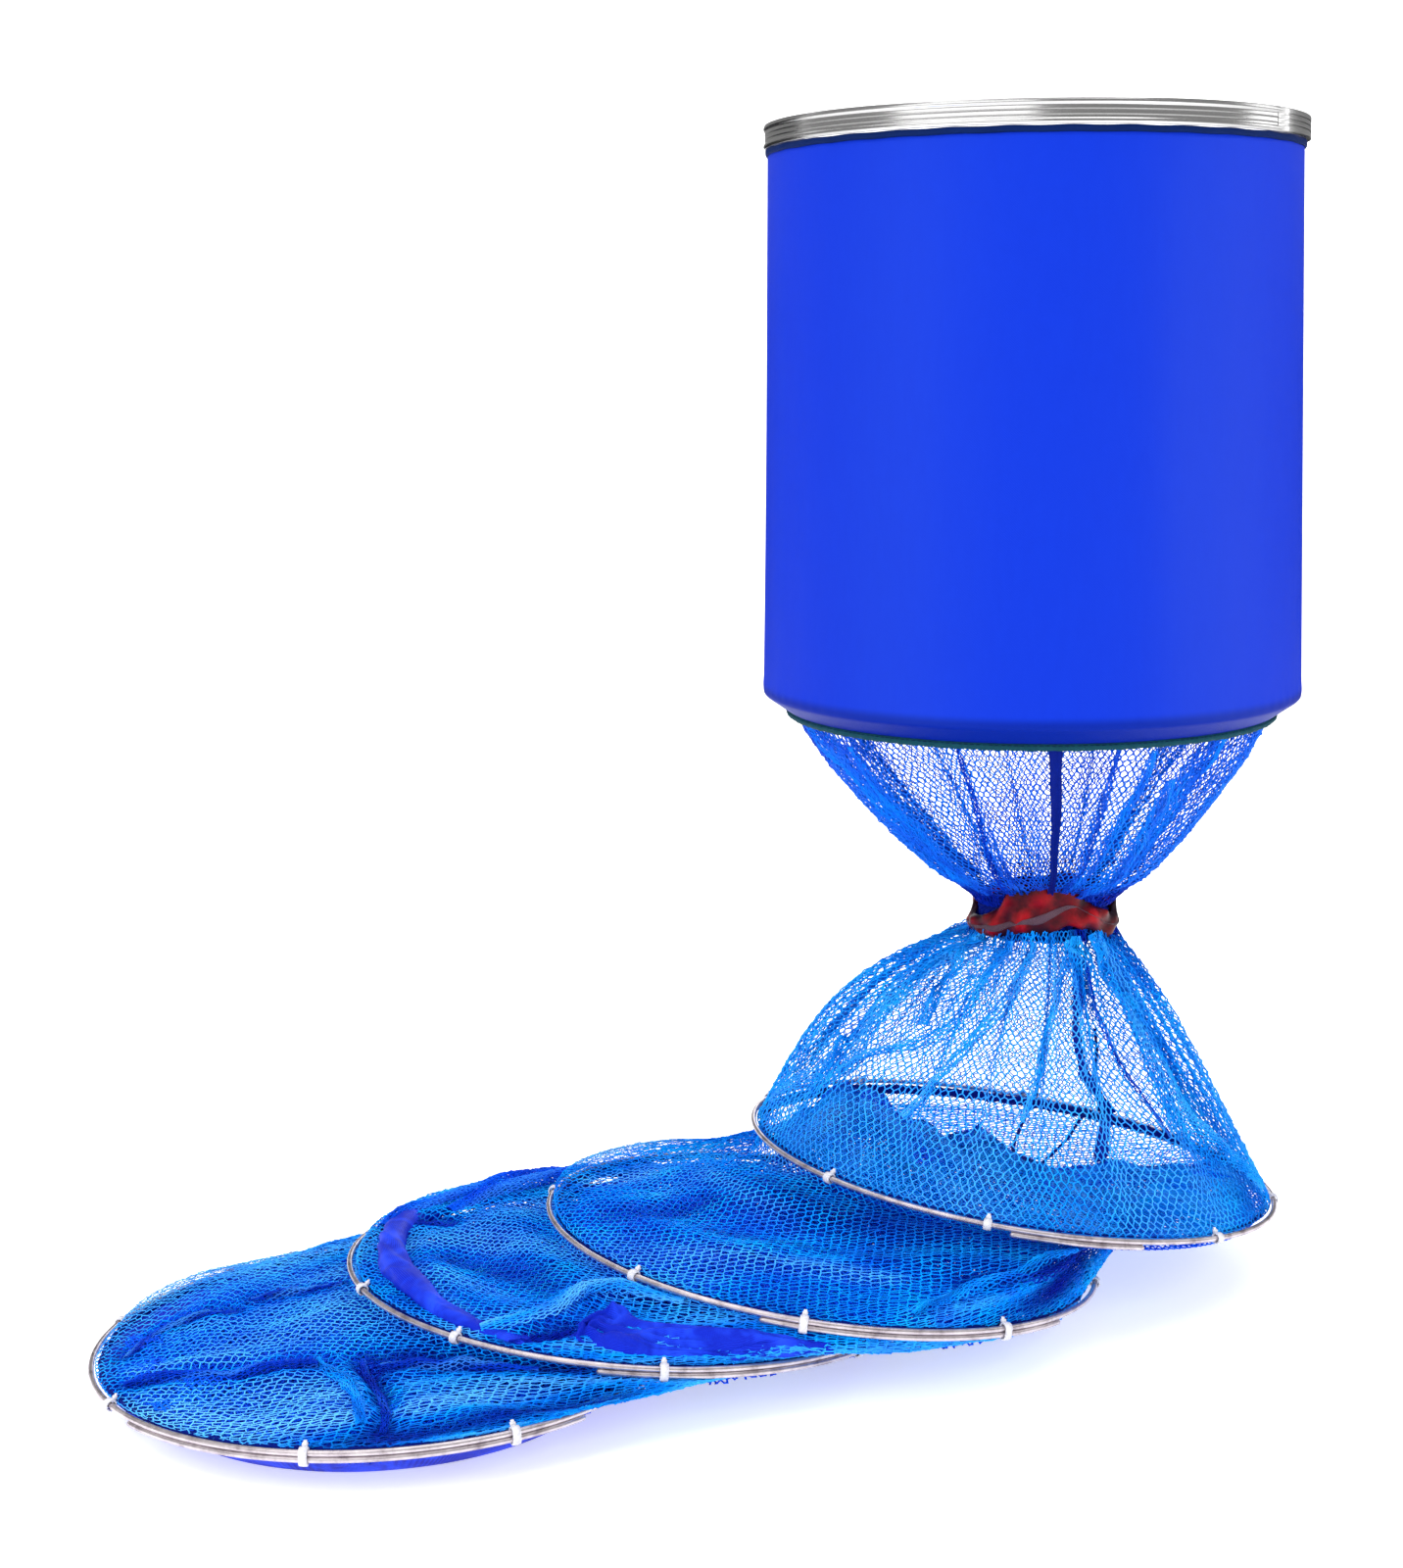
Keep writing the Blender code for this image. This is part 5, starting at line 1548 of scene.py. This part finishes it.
# ---- heap of netting inside the first hoop
CREST = np.array((
    (-0.190, 0.000, -0.766), (-0.168, 0.042, -0.752), (-0.139, 0.060, -0.743),
    (-0.122, 0.065, -0.745), (-0.102, 0.070, -0.757), (-0.084, 0.072, -0.776),
    (-0.055, 0.072, -0.786), (-0.028, 0.070, -0.784), (-0.001, 0.066, -0.803),
    (0.018, 0.062, -0.814), (0.071, 0.060, -0.811), (0.126, 0.055, -0.807), (0.165, 0.030, -0.806),
))


def crest_at(s):
    x = s * (len(CREST) - 1)
    i = np.clip(x.astype(int), 0, len(CREST) - 2)
    f = smooth(x - i)[..., None] * 0.5 + (x - i)[..., None] * 0.5
    return CREST[i] * (1 - f) + CREST[i + 1] * f


def heap_surface(layer):
    def surface(U, V):
        t = (V - 0.22) / 0.78
        crest = crest_at(U)
        crest = crest + np.stack([0 * U, 0.004 * np.sin(U * 31 + layer), 0.0030 * np.sin(U * 47)
                                  + 0.0016 * np.sin(U * 97 + 1)], -1)
        angle = np.radians(188.0 + 158.0 * U)
        front = on_hoop(0, 0.186, -0.0035, angle)
        f = np.clip(t, 0, 1)
        p = crest + (front - crest) * np.stack([f, f, f ** 0.9], -1)
        ripple = (0.0030 * waves(130 + layer, U * 5, V, (1, 6), (0.6, 2.4), 12, fade=0.3)
                  + 0.0012 * waves(131 + layer, U * 20, V, (1, 6), (0.6, 4.0), 12, fade=0.3))
        p[..., 2] += (ripple + 0.004) * np.sin(math.pi * f) - 0.0035 * layer * f
        back = np.clip(-t / 0.28, 0, 1)
        p[..., 2] -= (0.030 - 0.026 * smooth(U, 0.62, 0.92)) * back ** 1.3
        p[..., 1] -= 0.012 * np.sin(math.pi * back) - 0.004 * back
        p[..., 2] = np.maximum(p[..., 2], FLOOR_Z + 0.003)
        return p
    return surface


# painted light and shade: the heap's twine is darker along its crest and behind it and in a dip, and lighter
# in a patch just below the crest
def heap_tone(U, V):
    t = (V - 0.22) / 0.78
    base = 0.15 + 0.35 * waves(135, U * 8, V, (1, 6), (0.6, 2.4), 12, fade=0.3)
    edge_ = np.exp(-(t / 0.045) ** 2) + (t < 0) * 0.6
    dip = np.exp(-((U - 0.62) / 0.10) ** 2 - ((t - 0.16) / 0.06) ** 2)
    return np.clip(base * (1 - np.clip(edge_, 0, 1)) - 0.75 * np.clip(edge_, 0, 1)
                   + 0.5 * np.exp(-((U - 0.60) / 0.12) ** 2 - ((t - 0.10) / 0.03) ** 2)
                   - 0.8 * dip, -1, 1)


# painted shade: each layer lower in the heap is made of a darker twine
for layer in range(3):
    obj = netting("net_a_heap_%d" % (layer + 1), heap_surface(layer), 92, 72,
                  (M_FLARE, M_NET, M_SHADED_TWINE)[layer], "hoop_1_body", seed=140 + layer, wrap=False,
                  thick=(0.00060, 0.00064, 0.00064)[layer], tone=heap_tone if layer < 2 else None)
    RUNS.pop(obj.name)
    del obj["_rows"]

# ---- violet cloth: wear band inside the third hoop, base cloth under the fourth
# by angle: radius of the band's middle, its lift, half width and half height, in millimetres
BAND = ((0, 180, 7, 8.5, 5.5), (60, 180, 7, 8.5, 5.5), (120, 180, 7, 9, 6), (150, 177, 8, 9, 7),
        (170, 172, 10, 10, 8), (190, 171, 11, 10, 8), (208, 174, 10, 10, 7.5),
        (224, 179, 8, 9, 6.5), (236, 184, 5, 7, 4.5), (246, 183, 2, 6, 3), (258, 178, 1, 10, 3),
        (270, 176, 2, 13, 4), (290, 175, 3, 14, 4.5), (310, 178, 4, 10, 5), (335, 180, 6, 8.5, 5.5))
cols, rows = 420, 26
U, V = np.meshgrid(np.arange(cols) / cols * TAU, np.arange(rows) / rows * TAU, indexing="xy")
rough_ = waves(151, U, V / TAU, (5, 22), (0.0, 1.0), 16, fade=0.35)
pinch = creases(waves(153, U + 0.15 * np.cos(V), V / TAU, (8, 30), (0.0, 1.0), 12, fade=0.2))
rx = keyed(BAND, U, 3) * (1 + 0.12 * rough_ + 0.10 * pinch)
rz = keyed(BAND, U, 4) * (1 + 0.16 * rough_ + 0.20 * pinch)
mid_r = keyed(BAND, U, 1) + 0.0012 * waves(152, U, 0 * U, (2, 7), (0, 0))
band_pts = on_hoop(2, mid_r + rx * np.cos(V), keyed(BAND, U, 2) + rz * np.sin(V), U)
band_uv = np.stack([U * 0.18, V * 0.006], -1).reshape(-1, 2)
band_obj = place("wear_roll", mesh_from("wear_roll", band_pts, grid_quads(rows, cols, True, True),
                                        uv=band_uv), M_VIOLET, "hoop_3_body")
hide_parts("wear_band")

# the band's loose front, pushed up over the netting in a low pointed fold
cover_b = cover_surface(1)
LOOSE = np.array(((243.5, 0.60, 0.66), (243.0, 0.50, 0.68), (242.5, 0.40, 0.70), (245.5, 0.40, 0.74),
                  (252.0, 0.40, 0.78), (260.0, 0.40, 0.82), (266.0, 0.30, 0.84),
                  (271.0, 0.24, 0.84), (276.0, 0.22, 0.80), (282.0, 0.34, 0.74),
                  (286.0, 0.50, 0.70)))
S_, T_ = np.meshgrid(np.linspace(0, 1, 150), np.linspace(0, 1, 46), indexing="xy")
ki = S_ * (len(LOOSE) - 1)
keys_ = [np.interp(ki, np.arange(len(LOOSE)), LOOSE[:, i]) for i in range(3)]
v_at = keys_[1] + (keys_[2] - keys_[1]) * T_
deg_at = keys_[0] + 5.0 * T_ * (1 - 0.4 * S_)
loose_pts = cover_b(deg_at / 360.0, v_at)
folds_ = creases(waves(155, S_ * TAU, T_ * 1.3, (1, 7), (0.8, 2.6), 14, fade=0.3))
taper = (np.clip(S_ / 0.08, 0, 1) * np.clip((1 - S_) / 0.12, 0, 1)) ** 0.6
body_ = np.sin(math.pi * np.clip(T_, 0.02, 0.98)) ** 0.5
peak = 0.0080 * np.exp(-((S_ - 0.22) / 0.07) ** 2) * np.exp(-((T_ - 0.10) / 0.22) ** 2)
furrow = np.sin(2.5 * math.pi * T_ + 1.6 * np.sin(5.0 * S_)) * body_
loose_pts[..., 2] += -0.0014 + (0.0036 * body_ + 0.0030 * folds_ * body_ + 0.0022 * furrow) * taper + peak
loose_uv = np.stack([S_ * 0.20, T_ * 0.05], -1)
loose = shell("wear_fold", loose_pts[:, ::-1], 0.0009, M_VIOLET, wrap_cols=False,
              uv=loose_uv[:, ::-1])
hand_over(loose,
          run=np.tile(v_at[:, ::-1].reshape(-1), 2))

cols, rows = 300, 60
U, V = np.meshgrid(np.arange(cols) / cols * TAU, np.linspace(0, 1, rows), indexing="xy")
edge_pts = on_hoop(3, 0.1944, -0.0006, U)
r_in = np.clip(1.0 - (V - 0.16) / 0.84, 0, 1) * 0.1570 + 0.0004
foot = np.stack([HOOPS[3][0][0] - 0.004 + r_in * np.cos(U), HOOPS[3][0][1] + r_in * np.sin(U),
                 np.full_like(U, FLOOR_Z + 0.0009)], -1)
s = smooth(V, 0.0, 0.18)[..., None]
sag = 0.0035 * np.sin(math.pi * np.clip(V / 0.2, 0, 1))
pan = edge_pts * (1 - s) + foot * s
pan[..., :2] += np.stack([np.cos(U), np.sin(U)], -1) * sag[..., None]
wr = np.clip((V - 0.12) / 0.3, 0, 1) * np.clip((1 - V) / 0.2, 0, 1)
pan[..., 2] += np.clip(waves(161, U, V, (3, 12), (0.3, 1.2), 12), 0, 1) * 0.0035 * wr
pan[..., 2] = np.maximum(pan[..., 2], FLOOR_Z + 0.0007)
pan_uv = np.stack([r_in * np.cos(U), r_in * np.sin(U)], -1)
base_obj = shell("base_panel", pan, 0.0011, M_VIOLET, "hoop_4_body", uv=pan_uv)
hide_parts("base_cloth")


# ------------------------------------------------------- pieces looked up by name; the loop below gathers them and sets nothing
def named(*names):
    return [bpy.data.objects[n_] for n_ in names]


def starting(prefix):
    return [o_ for o_ in SCENE.objects if o_.name.startswith(prefix)]


for k in range(3):
    extra = starting("net_%s_ridge_" % "abc"[k]) + named("hoop_%d_selvedge" % (k + 2))
    if k == 0:
        extra += named("net_a_seam", "net_a_edge_a", "net_a_edge_b")
    for layer in range(3):
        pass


# ----------------------------------- loose layers get meshes of their own
def flatten(names):
    """Gives each named piece a copy of its mesh of its own."""
    for name in names:
        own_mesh(bpy.data.objects[name])


flatten(["net_a_heap_%d" % i for i in (1, 2, 3)] + ["net_a_seam", "net_a_edge_a", "net_a_edge_b"])
flatten(["net_a_fold_%d" % i for i in (1, 2, 3)])
flatten(["net_b_fold_%d" % i for i in (1, 2, 3)])
flatten(["net_c_fold_%d" % i for i in (1, 2, 3)])

# ------------------------------------------------------------ floor and light
half_w, depth = 6.0, 3.2
line = [(-4.0, FLOOR_Z), (depth - 0.9, FLOOR_Z)]
for k in range(1, 13):
    t = k / 12 * math.pi / 2
    line.append((depth - 0.9 + 0.9 * math.sin(t), FLOOR_Z + 0.9 - 0.9 * math.cos(t)))
line.append((depth, FLOOR_Z + 4.5))
line = np.array(line)
sweep = np.stack([np.stack([np.full(len(line), x), line[:, 0], line[:, 1]], -1)
                  for x in (-half_w, half_w)], 0)
M_FLOOR = material("floor_paper", (0.92, 0.92, 0.925), 0.9, Specular_IOR_Level=0.1,
                   Emission_Color=(1.0, 1.0, 1.0, 1.0), Emission_Strength=0.46)
ft = M_FLOOR.node_tree
wire(M_FLOOR, Base_Color=ramp(ft, noise(ft, coords(ft), 3.0), ((0.3, (0.90, 0.90, 0.905)),
                                                             (0.7, (0.93, 0.93, 0.935)))))
floor = place("floor", mesh_from("floor", sweep, grid_quads(2, len(line))), M_FLOOR)

world = bpy.data.worlds.new("studio")
SCENE.world = world
world.use_nodes = True
wt = world.node_tree
back_node = wt.nodes["Background"]
back_node.inputs["Color"].default_value = (1.0, 1.0, 1.0, 1.0)
back_node.inputs["Strength"].default_value = 0.34


def area(name, at, look, size, power, colour=(1, 1, 1)):
    data = bpy.data.lights.new(name, "AREA")
    data.shape = "RECTANGLE"
    data.size, data.size_y = size
    data.energy = power
    data.color = colour
    obj = bpy.data.objects.new(name, data)
    SCENE.collection.objects.link(obj)
    obj.location = at
    obj.rotation_euler = (Vector(look) - Vector(at)).to_track_quat("-Z", "Y").to_euler()
    return obj


for side_key in (area("key_left", (-1.75, -1.25, 0.1), (0.0, 0.0, -0.4), (0.80, 2.0), 40.0),
                 area("key_right", (1.45, -1.55, 0.1), (0.0, 0.0, -0.4), (0.80, 2.0), 36.0)):
    side_key.visible_glossy = False
# two upright strip lights that only shine on the bucket's cloth, for its soft bands
only_cloth = bpy.data.collections.new("only_cloth")
only_cloth.objects.link(cloth)
for strip_ in (area("strip_left", (-2.05, -1.25, -0.35), (-0.1, -0.17, -0.25), (0.40, 1.20), 46.0),
               area("strip_right", (2.15, -0.75, -0.35), (0.1, -0.17, -0.25), (0.40, 1.20), 46.0)):
    strip_.visible_diffuse = False
    strip_.light_linking.receiver_collection = only_cloth
area("top", (-0.2, -0.2, 2.3), (-0.2, 0.1, -0.8), (3.4, 2.8), 52.0)
area("back_wash", (0.0, 1.2, 1.8), (0.0, 3.2, 0.2), (3.5, 1.0), 44.0)

# dark screens beside the backdrop for the gloss of the bucket's edges, and two white cards
# for the shine of the steel: only reflections see them
M_SCREEN = material("screen_black", (0.01, 0.01, 0.012), 0.9, Specular_IOR_Level=0.0)


def card_paint(name, strength):
    return material(name, (0.0, 0.0, 0.0), 1.0, Specular_IOR_Level=0.0,
                    Emission_Color=(1.0, 1.0, 1.0, 1.0), Emission_Strength=strength)


SCREENS = (
    ("screen_left", (-1.92, 1.00), (-0.38, 2.20), -0.84, 0.00, M_SCREEN),
    ("screen_right", (1.92, 1.00), (0.38, 2.20), -0.84, 0.00, M_SCREEN),
    ("grey_left", (-1.92, 1.00), (-0.38, 2.20), 0.00, 1.10, card_paint("card_grey_left", 0.26)),
    ("grey_right", (1.92, 1.00), (0.38, 2.20), 0.00, 1.10, card_paint("card_grey_right", 0.26)),
    ("card_left", (-2.20, -1.05), (-0.30, -2.70), 0.05, 1.60, card_paint("card_left_white", 2.00)),
    ("card_right", (2.25, -0.02), (2.05, 0.90), 0.05, 1.20, card_paint("card_right_white", 2.20)),
)
for name, (x0, y0), (x1, y1), low, high, paint in SCREENS:
    corners = np.array(((x0, y0, low), (x1, y1, low), (x1, y1, high), (x0, y0, high)))
    screen = place(name, mesh_from(name, corners, np.array([[0, 1, 2, 3]])), paint)
    for kind in ("camera", "diffuse", "transmission", "volume_scatter", "shadow"):
        setattr(screen, "visible_" + kind, False)
